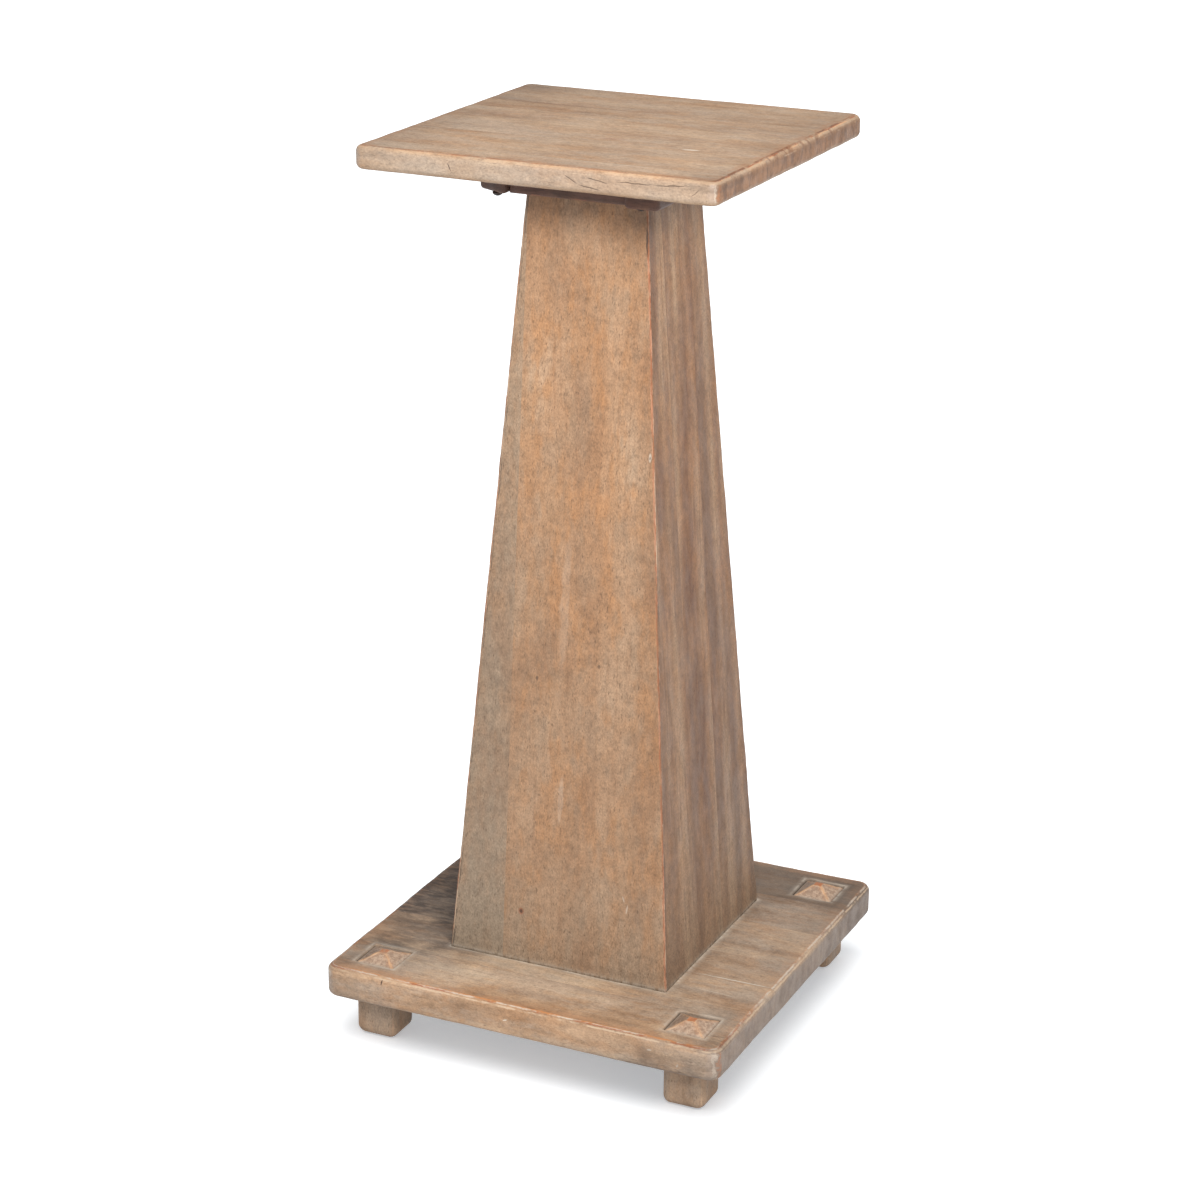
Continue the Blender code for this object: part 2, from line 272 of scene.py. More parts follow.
def wood_body(tree, place, tones, streaks, contrast, clouds, ripple, fineness, veins, ochre):
    """Colour, lightness, relief and pores of bare wood at a place along, across and into the grain."""
    swell = cloud(tree, place, (2.6, 8.0, 8.0), 2.0)
    sway = vectors(tree, "SUBTRACT", swell.outputs["Color"], (0.5, 0.5, 0.5))
    sway = vectors(tree, "MULTIPLY", sway, (0.0, GRAIN_DRIFT, GRAIN_DRIFT))
    place = vectors(tree, "ADD", place, sway)

    streak = cloud(tree, place, (STREAK_LENGTH, streaks, streaks), 2.0, 0.45).outputs[0]
    patch = cloud(tree, place, CLOUD_STRETCH, 4.0, 0.6).outputs[0]
    tone = maths(tree, "MULTIPLY", maths(tree, "SUBTRACT", streak, 0.5), contrast)
    tone = maths(tree, "ADD", tone, maths(tree, "MULTIPLY", maths(tree, "SUBTRACT", patch, 0.5), clouds))
    ramp = tree.nodes.new("ShaderNodeValToRGB")
    ramp.color_ramp.elements[0].position = 0.3
    ramp.color_ramp.elements[0].color = tones[0]
    ramp.color_ramp.elements[1].position = 0.7
    ramp.color_ramp.elements[1].color = tones[2]
    ramp.color_ramp.elements.new(0.5).color = tones[1]
    feed(tree, ramp.inputs[0], maths(tree, "ADD", tone, 0.5))

    mottle = cloud(tree, place, MOTTLE_STRETCH, 3.0, 0.6).outputs[0]
    curl = cloud(tree, place, (150.0, 26.0, 26.0), 2.0).outputs[0]
    fibre = cloud(tree, place, FIBRE_STRETCH, 3.0, 0.65).outputs[0]
    vein = between(tree, cloud(tree, place, VEIN_STRETCH, 2.0).outputs[0], 0.56, 0.68)
    toned = mix(tree, maths(tree, "MULTIPLY", vein, veins), ramp.outputs[0], tones[0])
    warm = between(tree, cloud(tree, place, OCHRE_STRETCH, 3.0, 0.6).outputs[0], 0.47, 0.62)
    toned = mix(tree, maths(tree, "MULTIPLY", warm, ochre), toned, OCHRE)
    light = 1.0
    for layer, strength in ((mottle, 0.62 * fineness), (curl, ripple), (fibre, 0.95 * fineness)):
        change = maths(tree, "MULTIPLY", maths(tree, "SUBTRACT", layer, 0.5), strength)
        light = maths(tree, "ADD", change, light)

    pore = between(tree, cloud(tree, place, PORE_STRETCH, 2.0).outputs[0], 0.60, 0.74)
    relief = maths(tree, "SUBTRACT", fibre, maths(tree, "MULTIPLY", pore, 0.8))
    return toned, light, relief, pore, place


def grey_value(tree, value):
    node = tree.nodes.new("ShaderNodeCombineColor")
    for socket in node.inputs:
        feed(tree, socket, value)
    return node.outputs[0]


print("streaks run", round(1 / STREAK_LENGTH, 2), "m along the grain")

# %% [markdown]
# The maker rubbed a grey wash over the warm wood and then wore it back. It clings in patches and in the pores, and it
# is gone from the edges that hands and dusters touch: there the bare wood shows sienna, with a thin pale line that is
# partly burnished wash and partly a painted highlight on the rounded edge. Dirt fills the corners, and wax dries pale
# beside them. Painted shade, laid in with the dirt, darkens gaps, undersides and the sides that the lamp lights less.
# %% Wash, worn edges, dirt, painted shade and wax
SIENNA = paint(144, 84, 52)
RUBBED = paint(177, 129, 90)
# A pale line on worn rims: partly burnished wash, partly a painted highlight where the rounded edge meets the light.
BURNISH_AND_HIGHLIGHT = paint(181, 157, 132)
# The dark of dirt, also used for painted shade.
DIRT_AND_SHADE = paint(61, 50, 44)
PORE = paint(77, 56, 42)
DRIED_WAX = paint(200, 188, 172)


CORNER_STRIPS = (
    (-0.30, 0.60, paint(160, 142, 128), 0.45),
    (-0.12, 0.20, DRIED_WAX, 0.35),
    (0.50, 0.22, paint(150, 98, 66), 0.55),
)


def near_line(tree, place, middle, half_width):
    """1 on a line of the rim measure and 0 beyond its half width, with a ragged edge."""
    rim = carried(tree, "rim").outputs["Fac"]
    ragged = maths(tree, "SUBTRACT", cloud(tree, place, (130.0, 260.0, 260.0), 3.0, 0.7).outputs[0], 0.5)
    off = maths(tree, "ADD", maths(tree, "SUBTRACT", rim, middle), maths(tree, "MULTIPLY", ragged, half_width * 2.2))
    return between(tree, maths(tree, "ABSOLUTE", off), half_width * 0.45, half_width, 1.0, 0.0)


def wash_over(tree, colour, place, grey, greyness, cover):
    patch = cloud(tree, place, (7.0, 24.0, 24.0), 4.0, 0.62).outputs[0]
    crumb = cloud(tree, place, (70.0, 130.0, 130.0), 3.0, 0.65).outputs[0]
    patch = maths(tree, "ADD", patch, maths(tree, "MULTIPLY", maths(tree, "SUBTRACT", crumb, 0.5), 0.35))
    share = maths(tree, "ADD", between(tree, patch, 0.36, 0.66, 0.0, cover), greyness)
    share = maths(tree, "MINIMUM", share, 0.92)
    return mix(tree, share, colour, grey)


def wear_edges(tree, colour, place, lines):
    """Each line: its middle and half width in metres round the rim, colour, share of the edge, strength, and fact."""
    for number, (middle, half_width, line_colour, share_of_edge, strength, fact) in enumerate(lines):
        shift = vectors(tree, "ADD", place, (0.31 * number, 0.0, 0.0))
        fade = cloud(tree, shift, (26.0, 26.0, 26.0), 4.0, 0.68).outputs[0]
        shown = between(tree, fade, 0.62 - 0.3 * share_of_edge, 0.74 - 0.3 * share_of_edge)
        share = maths(tree, "MULTIPLY", near_line(tree, shift, middle, half_width), strength)
        share = maths(tree, "MULTIPLY", share, carried(tree, fact).outputs["Fac"])
        colour = mix(tree, maths(tree, "MULTIPLY", share, shown), colour, line_colour)
    return colour


def wear_corners(tree, colour, place):
    """Upright corners: pale wash stays on the front of the turn, and bare wood shows where it becomes the side."""
    crumb = cloud(tree, place, (140.0, 140.0, 140.0), 4.0, 0.75).outputs[0]
    ragged = maths(tree, "MULTIPLY", maths(tree, "SUBTRACT", crumb, 0.5), 1.8)
    turn = maths(tree, "ADD", carried(tree, "turn").outputs["Fac"], ragged)
    corner = carried(tree, "corner").outputs["Fac"]
    for middle, half_width, strip_colour, strength in CORNER_STRIPS:
        off = maths(tree, "ABSOLUTE", maths(tree, "SUBTRACT", turn, middle))
        share = maths(tree, "MULTIPLY", between(tree, off, half_width * 0.4, half_width, strength, 0.0), corner)
        colour = mix(tree, share, colour, strip_colour)
    return colour


# Darkens by the fact that holds both real dirt and painted shade, and then lays the pale dried wax.
def settle_dirt_and_shade(tree, colour, place):
    speckle = cloud(tree, place, (60.0, 190.0, 190.0), 3.0, 0.65).outputs[0]
    grime = carried(tree, "grime").outputs["Fac"]
    share = maths(tree, "MULTIPLY", grime, between(tree, speckle, 0.30, 0.62, 0.62, 1.0))
    colour = mix(tree, share, colour, DIRT_AND_SHADE)
    wax = carried(tree, "wax").outputs["Fac"]
    share = maths(tree, "MULTIPLY", wax, between(tree, speckle, 0.36, 0.56, 0.3, 1.0))
    return mix(tree, share, colour, DRIED_WAX)


print("worn edges show", [round(channel, 3) for channel in SIENNA[:3]])

# %% [markdown]
# Knots, cracks and knocks are what make a board this board. Each is a small stretched spot with a ragged outline, at
# a place measured along and across the board, turned to its own angle. Modelling hairline cracks would cost many
# thousand faces, so they are colour here, while the larger dents and notches are pressed into the meshes below.
# %% Knots, cracks and knocks
MARK_REACH = 0.012
PALE_MARK = paint(193, 181, 165)


def spot(tree, place, mark):
    """1 in the middle of a mark and 0 outside it."""
    turn = math.radians(mark["turn"])
    jitter = cloud(tree, place, (90.0, 90.0, 90.0), 2.0).outputs["Color"]
    jitter = vectors(tree, "MULTIPLY", vectors(tree, "SUBTRACT", jitter, (0.5, 0.5, 0.5)), (mark["stray"],) * 3)
    offset = vectors(tree, "SUBTRACT", vectors(tree, "ADD", place, jitter), mark["at"])
    x, y, off_plane = parts_of(tree, offset)
    if mark["on_edge"]:
        y, off_plane = off_plane, y
    run = maths(tree, "ADD", maths(tree, "MULTIPLY", x, math.cos(turn)), maths(tree, "MULTIPLY", y, math.sin(turn)))
    rise = maths(tree, "SUBTRACT", maths(tree, "MULTIPLY", y, math.cos(turn)), maths(tree, "MULTIPLY", x, math.sin(turn)))
    run = maths(tree, "DIVIDE", run, mark["size"][0])
    rise = maths(tree, "DIVIDE", rise, mark["size"][1])
    off = maths(tree, "ADD", maths(tree, "MULTIPLY", run, run), maths(tree, "MULTIPLY", rise, rise))
    off_plane = maths(tree, "DIVIDE", off_plane, MARK_REACH)
    off = maths(tree, "ADD", off, maths(tree, "MULTIPLY", off_plane, off_plane))
    return between(tree, off, 0.25, 1.0, 1.0, 0.0)


def add_marks(tree, colour, height, place, marks):
    for mark in marks:
        share = maths(tree, "MULTIPLY", spot(tree, place, mark), mark["strength"])
        colour = mix(tree, share, colour, mark["colour"])
        height = maths(tree, "SUBTRACT", height, maths(tree, "MULTIPLY", share, mark["depth"]))
    return colour, height


DARK_MARK = paint(64, 47, 37)
REDDISH_MARK = paint(130, 77, 52)


def mark_at(at, length, width, turn=0.0, colour=DARK_MARK, strength=0.8, depth=1.5, stray=0.0015, on_edge=False):
    """A mark at a place along, across and into its board, on the board's face or on its edge."""
    return {
        "at": at,
        "on_edge": on_edge,
        "size": (length / 2, width / 2),
        "turn": turn,
        "colour": colour,
        "strength": strength,
        "depth": depth,
        "stray": stray,
    }


print("marks are given in metres along and across their board")

# %% [markdown]
# One recipe now makes every finish of this pedestal. It lays the layers over one another in the order in which they
# came to be: wood, wash, worn edges, marks, dirt, wax; painted shade goes in with the dirt. Roughness follows a cloud
# of its own and the pores, and a bump of a few tenths of a millimetre lets the light catch the grain.
# %% The weathered finish
BUMP_DEPTH = 0.00035


def weathered_wood(name, tones, grey, cover, planks, streaks=34.0, contrast=1.0, clouds=0.8, ripple=0.12,
                   fineness=1.0, veins=0.45, ochre=0.25, pores=0.45, seams=(), lines=(), marks=(), shine=0.32, seed=0.0,
                   end_tones=(paint(122, 97, 80), paint(150, 126, 106)), end_stretch=(9.0, 150.0, 22.0)):
    """A finish of one board. planks gives greyness and darkness of each plank between the seams."""
    finish = bpy.data.materials.new(name)
    finish.use_nodes = True
    tree = finish.node_tree
    surface = tree.nodes["Principled BSDF"]
    board_place = carried(tree, "grain").outputs["Vector"]
    across = parts_of(tree, board_place)[1]
    greyness = stepped(tree, across, seams, [plank[0] for plank in planks])
    greyness = maths(tree, "ADD", greyness, carried(tree, "wash").outputs["Fac"])
    darkness = stepped(tree, across, seams, [plank[1] for plank in planks])
    number = stepped(tree, across, seams, [float(index) for index in range(len(planks))])
    shift = vectors(tree, "MULTIPLY", grey_value(tree, maths(tree, "ADD", number, seed)), (0.83, 0.37, 0.61))
    place = vectors(tree, "ADD", board_place, shift)

    body = wood_body(tree, place, tones, streaks, contrast, clouds, ripple, fineness, veins, ochre)
    colour, light, height, pore, place = body
    colour = wash_over(tree, colour, place, grey, greyness, cover)
    colour = mix(tree, 1.0, colour, grey_value(tree, light), "MULTIPLY")
    colour = mix(tree, darkness, colour, DIRT_AND_SHADE)
    end_grain = carried(tree, "end_grain").outputs["Fac"]
    stripe = cloud(tree, place, end_stretch, 4.0, 0.68).outputs[0]
    end_colour = mix(tree, between(tree, stripe, 0.36, 0.60), *end_tones)
    end_colour = mix(tree, 0.15, end_colour, colour)
    colour = mix(tree, maths(tree, "MULTIPLY", end_grain, 0.95), colour, end_colour)
    colour = wear_edges(tree, colour, place, lines)
    colour = wear_corners(tree, colour, place)
    colour = mix(tree, maths(tree, "MULTIPLY", pore, pores), colour, PORE)
    colour, height = add_marks(tree, colour, height, board_place, marks)
    colour = settle_dirt_and_shade(tree, colour, place)
    feed(tree, surface.inputs["Base Color"], colour)

    rough = between(tree, cloud(tree, place, (30.0, 70.0, 70.0), 3.0).outputs[0], 0.3, 0.7, 0.50, 0.68)
    feed(tree, surface.inputs["Roughness"], maths(tree, "ADD", rough, maths(tree, "MULTIPLY", pore, 0.15)))
    surface.inputs["Specular IOR Level"].default_value = shine
    bump = tree.nodes.new("ShaderNodeBump")
    bump.inputs["Strength"].default_value = 0.6
    bump.inputs["Distance"].default_value = BUMP_DEPTH
    feed(tree, bump.inputs["Height"], height)
    feed(tree, surface.inputs["Normal"], bump.outputs[0])
    return finish


print("finish recipe ready")

# %% [markdown]
# Every board starts as a block of grid cells, close together near its edges and wider inside, and only the outside
# of the block becomes faces. A cube with a Bevel modifier would be quicker, but it gives one even radius. With a grid,
# the radius can change from place to place, as it does on wood that has been handled for years.
# %% Grid blocks
def grid_lines(*stops):
    """Positions from the first stop to the last; each stop but the last is (position, largest spacing after it)."""
    lines = []
    ends = [stop[0] for stop in stops]
    for (start, spacing), end in zip(stops, ends[1:]):
        count = max(1, math.ceil((end - start) / spacing - 1e-6))
        lines.extend(np.linspace(start, end, count + 1)[:-1])
    return np.array([*lines, ends[-1]])


def block_skin(xs, ys, zs, kept):
    """Points and quads over the outside of a block of cells. kept says which cells, seen from above, hold wood."""
    deep, layers = len(ys), len(zs)

    def number(i, j, k):
        return (i * deep + j) * layers + k

    quads = []
    i, j = np.nonzero(kept)
    top = layers - 1
    quads.append(np.stack([number(i, j, top), number(i + 1, j, top), number(i + 1, j + 1, top), number(i, j + 1, top)], 1))
    quads.append(np.stack([number(i, j, 0), number(i, j + 1, 0), number(i + 1, j + 1, 0), number(i + 1, j, 0)], 1))
    around = np.pad(kept, 1)
    walls = {
        (-1, 0): ((0, 0, 0), (0, 0, 1), (0, 1, 1), (0, 1, 0)),
        (1, 0): ((1, 0, 0), (1, 1, 0), (1, 1, 1), (1, 0, 1)),
        (0, -1): ((0, 0, 0), (1, 0, 0), (1, 0, 1), (0, 0, 1)),
        (0, 1): ((0, 1, 0), (0, 1, 1), (1, 1, 1), (1, 1, 0)),
    }
    for (step_x, step_y), corners in walls.items():
        beyond = around[1 + step_x:1 + step_x + kept.shape[0], 1 + step_y:1 + step_y + kept.shape[1]]
        i, j = np.nonzero(kept & ~beyond)
        for k in range(top):
            quads.append(np.stack([number(i + a, j + b, k + c) for a, b, c in corners], 1))
    used, quads = np.unique(np.concatenate(quads), return_inverse=True)
    quads = quads.reshape(-1, 4)
    points = np.stack([xs[used // (deep * layers)], ys[used // layers % deep], zs[used % layers]], 1)
    return points.astype(float), quads


def wander(points, size, seed):
    """A smooth seeded wobble from -1 to 1, with swells about `size` metres long."""
    draw = np.random.default_rng(seed)
    waves = 9
    total = np.zeros(len(points))
    for _ in range(waves):
        direction = draw.normal(size=3)
        direction /= np.linalg.norm(direction)
        length = size * draw.uniform(0.6, 1.8)
        total += np.sin(points @ direction * (2 * math.pi / length) + draw.uniform(0, 2 * math.pi))
    return np.tanh(total / math.sqrt(waves))


print("a line every 1 mm near an edge:", np.round(grid_lines((0.0, 0.001), (0.003, 0.004), (0.011, 0)), 4))

# %% [markdown]
# Sharp edges of a block are rolled over to round ones by moving points along a quarter circle: points on the face
# take the first half of the turn and points on the wall the second. The same rule serves an outer edge, the eased
# rim of a hole and the mitred arris of the column, and it tells how far round the edge each point has come to lie.
# %% Rolling edges and pressing dents
def roll(inset, drop, radius):
    """New inset and drop of points near a square edge, and how far round it they lie from its middle.

    inset is how far in from the wall a point is, drop how far down from the face; one of them is nought."""
    on_face = drop <= inset
    reach = np.where(on_face, inset, drop)
    share = np.clip(1 - reach / radius, 0, 1)
    turn = np.where(on_face, math.pi / 4 * share, math.pi / 2 - math.pi / 4 * share)
    near = reach < radius
    new_inset = np.where(near, radius * (1 - np.sin(turn)), inset)
    new_drop = np.where(near, radius * (1 - np.cos(turn)), drop)
    along = math.pi / 4 * radius * (1 - share) + np.maximum(reach - radius, 0)
    return new_inset, new_drop, np.where(on_face, -along, along)


def dent(points, centre, size, push):
    """Presses a shallow hollow: size is its half extents, push how far the wood has gone, and which way."""
    away = (points - np.array(centre)) / np.array(size)
    depth = np.clip(1 - (away**2).sum(1), 0, 1) ** 2
    points += depth[:, None] * np.array(push)


def round_plan(x, y, half_x, half_y, corner):
    """Rounds the upright corners: new x and y, how far in from the outline, and the way out."""
    u = np.abs(x) - (half_x - corner)
    v = np.abs(y) - (half_y - corner)
    at_corner = (u > 0) & (v > 0)
    square = np.where(at_corner, np.maximum(u, v), 0.0)
    length = np.where(at_corner, np.hypot(u, v), 1.0)
    beside_x = half_x - np.abs(x) < half_y - np.abs(y)
    out_x = np.sign(x) * np.where(at_corner, u / length, beside_x)
    out_y = np.sign(y) * np.where(at_corner, v / length, ~beside_x)
    inset = np.where(at_corner, corner - square, np.minimum(half_x - np.abs(x), half_y - np.abs(y)))
    new_x = np.where(at_corner, np.sign(x) * (half_x - corner) + out_x * square, x)
    new_y = np.where(at_corner, np.sign(y) * (half_y - corner) + out_y * square, y)
    return new_x, new_y, inset, out_x, out_y, at_corner


print("half way round a 6 mm edge:", [round(float(part), 5) for part in roll(np.array(0.0), np.array(0.0), 0.006)])

# %% [markdown]
# The wooden meshes all end up in one place: a function that turns arrays into a Blender mesh, stores the facts that
# the shaders read, puts on the finish, hides the imported node that the new piece takes the place of, and hangs the
# piece on the pedestal's body.
# %% Putting a piece in place
def place_piece(name, points, quads, finish, facts=()):
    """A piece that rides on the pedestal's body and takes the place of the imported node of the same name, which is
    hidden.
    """
    mesh = bpy.data.meshes.new(name)
    mesh.vertices.add(len(points))
    mesh.vertices.foreach_set("co", points.astype(np.float32).ravel())
    mesh.loops.add(quads.size)
    mesh.loops.foreach_set("vertex_index", quads.astype(np.int32).ravel())
    mesh.polygons.add(len(quads))
    mesh.polygons.foreach_set("loop_start", np.arange(0, quads.size, quads.shape[1], dtype=np.int32))
    mesh.update(calc_edges=True)
    mesh.validate()
    mesh.shade_smooth()
    for fact, values in dict(facts).items():
        kind, key = ("FLOAT_VECTOR", "vector") if values.ndim == 2 else ("FLOAT", "value")
        layer = mesh.attributes.new(fact, kind, "POINT")
        layer.data.foreach_set(key, values.astype(np.float32).ravel())
    mesh.materials.append(finish)
    piece = bpy.data.objects.new("worn_" + name, mesh)
    bpy.context.scene.collection.objects.link(piece)
    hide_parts(name)
    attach(piece, "root")
    print(f"{name}: {2 * len(quads)} triangles")
    return piece


def side_strength(out_x, out_y, front, right, back, left):
    """Blends a strength given for each side by the way that the outline faces."""
    return (
        front * np.maximum(-out_y, 0) ** 2
        + back * np.maximum(out_y, 0) ** 2
        + right * np.maximum(out_x, 0) ** 2
        + left * np.maximum(-out_x, 0) ** 2
    )


def smudge(points, centre, size):
    """1 at a place and fading away from it; size gives how far on each axis."""
    away = (points[:, : len(centre)] - np.array(centre)) / np.array(size)
    return np.exp(-(away**2).sum(1))


# %% [markdown]
# A flat board has four rounded plan corners and two rounded rims. Use has eaten more wood off some stretches than
# off others, so the rim radius swells and shrinks a little, always inwards, and the faces are no longer quite flat.
# %% A worn flat board
def wear_board(points, low, high, corner, edge, seed):
    """Rounds and wears a squared board in place. Returns facts about its rims."""
    half_x, half_y = high.x, high.y
    x, y, inset, out_x, out_y, at_corner = [*round_plan(points[:, 0], points[:, 1], half_x, half_y, corner)]
    foot = np.stack([x + out_x * inset, y + out_y * inset, np.zeros(len(x))], 1)
    radius = edge * (1.10 + 0.10 * wander(foot, 0.06, seed) + 0.06 * wander(foot, 0.016, seed + 1))
    upper = points[:, 2] > (low.z + high.z) / 2
    drop = np.where(upper, high.z - points[:, 2], points[:, 2] - low.z)
    inset_now, drop_now, rim = roll(inset, drop, radius)
    flutter = 0.00012 * (1 + wander(foot, 0.06, seed + 2)) * np.exp(-inset / 0.008)
    sink = 0.00012 * (1 + wander(points, 0.07, seed + 3)) * np.clip(inset / 0.02, 0, 1)
    points[:, 0] = foot[:, 0] - out_x * (inset_now + flutter)
    points[:, 1] = foot[:, 1] - out_y * (inset_now + flutter)
    points[:, 2] = np.where(upper, high.z - drop_now - sink, low.z + drop_now)
    return {"rim": rim, "out_x": out_x, "out_y": out_y, "at_corner": at_corner, "upper": upper}


def board_facts(points, edges, wear, red, grime, wax, grain_axis=0):
    """The facts of a board whose grain runs along x or y."""
    other = 1 - grain_axis
    grain = np.stack([points[:, grain_axis], points[:, other], points[:, 2]], 1)
    out = (edges["out_x"], edges["out_y"])[grain_axis]
    on_wall = np.clip(edges["rim"] / 0.004, 0, 1)
    return {
        "grain": grain,
        "rim": edges["rim"],
        "wear": wear,
        "red": red,
        "grime": grime,
        "wax": wax,
        "end_grain": out**2 * on_wall,
        "corner": edges["at_corner"] * on_wall,
        "turn": np.abs(edges["out_x"]) - np.abs(edges["out_y"]),
    }


# %% [markdown]
# The top is five planks glued edge to edge, with the grain running from left to right. Three of the glue lines have
# opened a little where they meet the left edge. Its front edge is cut by fine drying cracks, which slope down to the
# right, and the top surface keeps most of its wash, with tan and pale streaks.
# %% The top board
EDGE_SPACING = 0.0013
FACE_SPACING = 0.0036
RIM_REACH = 0.009
TOP_CORNER = 0.011
TOP_EDGE = 0.006
TOP_SEAMS = (-0.148, -0.0692, 0.0508, 0.0888)
TOP_CHIPS = (
    (-0.058, 0.008), (-0.041, 0.016), (-0.019, 0.007), (-0.006, 0.018), (0.023, 0.009),
    (0.037, 0.006), (0.062, 0.020), (0.097, 0.008),
)
SEAM_HALF = 0.0012
SEAM_DEPTH = 0.00022

TOP_FRONT = -0.18375


def front_crack(along, height, length, turn, width=0.0012, strength=0.75):
    return mark_at((along, TOP_FRONT, height), length, width, turn, strength=strength, on_edge=True, stray=0.003)


TOP_MARKS = (
    front_crack(0.0405, 0.9037, 0.017, -28),
    front_crack(0.0588, 0.8978, 0.026, -12),
    front_crack(0.0666, 0.9050, 0.025, -12),
    front_crack(0.1050, 0.9060, 0.045, 2),
    front_crack(0.1400, 0.9075, 0.040, 4),
    front_crack(0.1620, 0.9030, 0.012, 40, strength=0.5),
    front_crack(-0.0822, 0.9028, 0.010, -62, 0.0014),
    mark_at((0.1048, -0.0609, 0.9144), 0.020, 0.005, 8, PALE_MARK, 0.9, 0.4),
    mark_at((-0.090, 0.0872, 0.9144), 0.150, 0.0026, 1, paint(104, 70, 46), 0.6, 0.4, stray=0.003),
    mark_at((-0.130, 0.0890, 0.9144), 0.060, 0.0024, -1, paint(104, 70, 46), 0.6, 0.4, stray=0.003),
    mark_at((0.020, -0.045, 0.9144), 0.030, 0.006, 12, REDDISH_MARK, 0.35, 0.4),
)

TOP_MARKS += tuple(
    mark_at((0.1815, y, 0.9144), 0.006, 0.8 * length, 12, paint(108, 70, 47), 0.5, 0.5, stray=0.006) for y, length in TOP_CHIPS
)
# The pale lines at the crest of the rim are partly wear and partly a painted highlight.
TOP_LINES = (
    (-0.0070, 0.0060, paint(150, 104, 70), 0.55, 0.5, "wear"),
    (-0.0044, 0.0014, paint(136, 92, 60), 0.75, 0.9, "wear"),
    (-0.0004, 0.0022, paint(178, 151, 124), 0.60, 0.6, "wear"),
    (-0.0034, 0.0017, paint(108, 68, 44), 0.45, 0.85, "red"),
    (-0.0014, 0.0010, paint(192, 146, 108), 0.5, 0.8, "red"),
    (-0.0024, 0.0009, SIENNA, 0.45, 0.9, "red"),
    (0.0034, 0.0010, BURNISH_AND_HIGHLIGHT, 0.35, 0.6, "wear"),
)
TOP_WOOD = weathered_wood(
    "top wood",
    tones=(paint(126, 95, 68), paint(156, 126, 98), paint(173, 147, 121)),
    grey=paint(154, 139, 124),
    cover=0.40,
    planks=((0.06, 0.0), (0.0, 0.03), (0.10, 0.0), (0.04, 0.04), (0.0, 0.07)),
    seams=TOP_SEAMS,
    streaks=44.0,
    contrast=0.36,
    clouds=0.62,
    veins=0.38,
    fineness=1.05,
    pores=0.28,
    lines=TOP_LINES,
    marks=TOP_MARKS,
    end_tones=(paint(88, 56, 36), paint(132, 93, 64)),
    end_stretch=(9.0, 110.0, 50.0),
    seed=1.0,
)


def plank_lines(start, end, seams, spacing, edge_spacing, reach):
    """Grid lines over a board's width, with three close lines at each seam."""
    stops = [(start, edge_spacing), (start + reach, spacing)]
    for seam in seams:
        stops += [(seam - SEAM_HALF, SEAM_HALF), (seam + SEAM_HALF, spacing)]
    return grid_lines(*stops, (end - reach, edge_spacing), (end, 0))


def seam_share(y, seams):
    """1 on a seam, fading to 0 at its half width."""
    nearest = np.min([np.abs(y - seam) for seam in seams], axis=0)
    return np.clip(1 - nearest / SEAM_HALF, 0, 1)


def make_top():
    low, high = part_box("top_board")
    xs = grid_lines(
        (low.x, EDGE_SPACING), (low.x + RIM_REACH, FACE_SPACING), (high.x - RIM_REACH, EDGE_SPACING), (high.x, 0)
    )
    ys = plank_lines(low.y, high.y, TOP_SEAMS, FACE_SPACING, EDGE_SPACING, RIM_REACH)
    zs = grid_lines((low.z, EDGE_SPACING), (low.z + TOP_EDGE, 0.003), (high.z - TOP_EDGE, EDGE_SPACING), (high.z, 0))
    points, quads = block_skin(xs, ys, zs, np.ones((len(xs) - 1, len(ys) - 1), bool))
    seam = seam_share(points[:, 1], TOP_SEAMS)
    edges = wear_board(points, low, high, TOP_CORNER, TOP_EDGE, seed=11)
    points[:, 2] -= np.where(edges["upper"], seam * SEAM_DEPTH, 0)
    for y in (TOP_SEAMS[1], TOP_SEAMS[2]):
        dent(points, (low.x, y, high.z), (0.006, 0.0045, 0.012), (0.0012, 0, -0.0010))
    for y, length in TOP_CHIPS:
        push = 0.4 + length / 0.022
        dent(points, (high.x - 0.0015, y, high.z), (0.0045, length / 2, 0.004), (-0.0006 * push, 0, -0.0014 * push))
    wear = side_strength(edges["out_x"], edges["out_y"], 0.75, 0.85, 0.6, 0.6) + 0.15 * edges["at_corner"]
    wear = wear * np.where(edges["upper"], 1.0, 0.55)
    x, y, z = points.T
    grime = 0.25 * seam * (0.5 + 0.5 * wander(points, 0.05, 14))
    grime += 0.20 * np.clip((-x - 0.12) / 0.04, 0, 1) + 0.15 * np.clip((x - 0.125) / 0.04, 0, 1)
    grime += 0.20 * smudge(points, (-0.17, 0.17), (0.09, 0.05)) + 0.22 * smudge(points, (0.175, -0.17), (0.03, 0.03))
    on_wall = np.clip(edges["rim"] / 0.003, 0, 1)
    # Painted shade: the lower rim is darkened as if shaded from below, and the edges are made a little darker than the
    # face.
    grime = grime * edges["upper"] + 0.5 * np.exp(-(z - low.z) / 0.0018) + 0.14 * on_wall
    red = side_strength(edges["out_x"], edges["out_y"], 0.35, 1.0, 0.7, 0.5) * edges["upper"]
    facts = board_facts(points, edges, wear, red, np.clip(grime, 0, 0.9), np.zeros(len(points)))
    facts["wash"] = 0.38 * np.maximum(-edges["out_y"], 0) * on_wall * np.clip((x + 0.22) / 0.12, 0.2, 1)
    return place_piece("top_board", points, quads, TOP_WOOD, facts)


make_top()

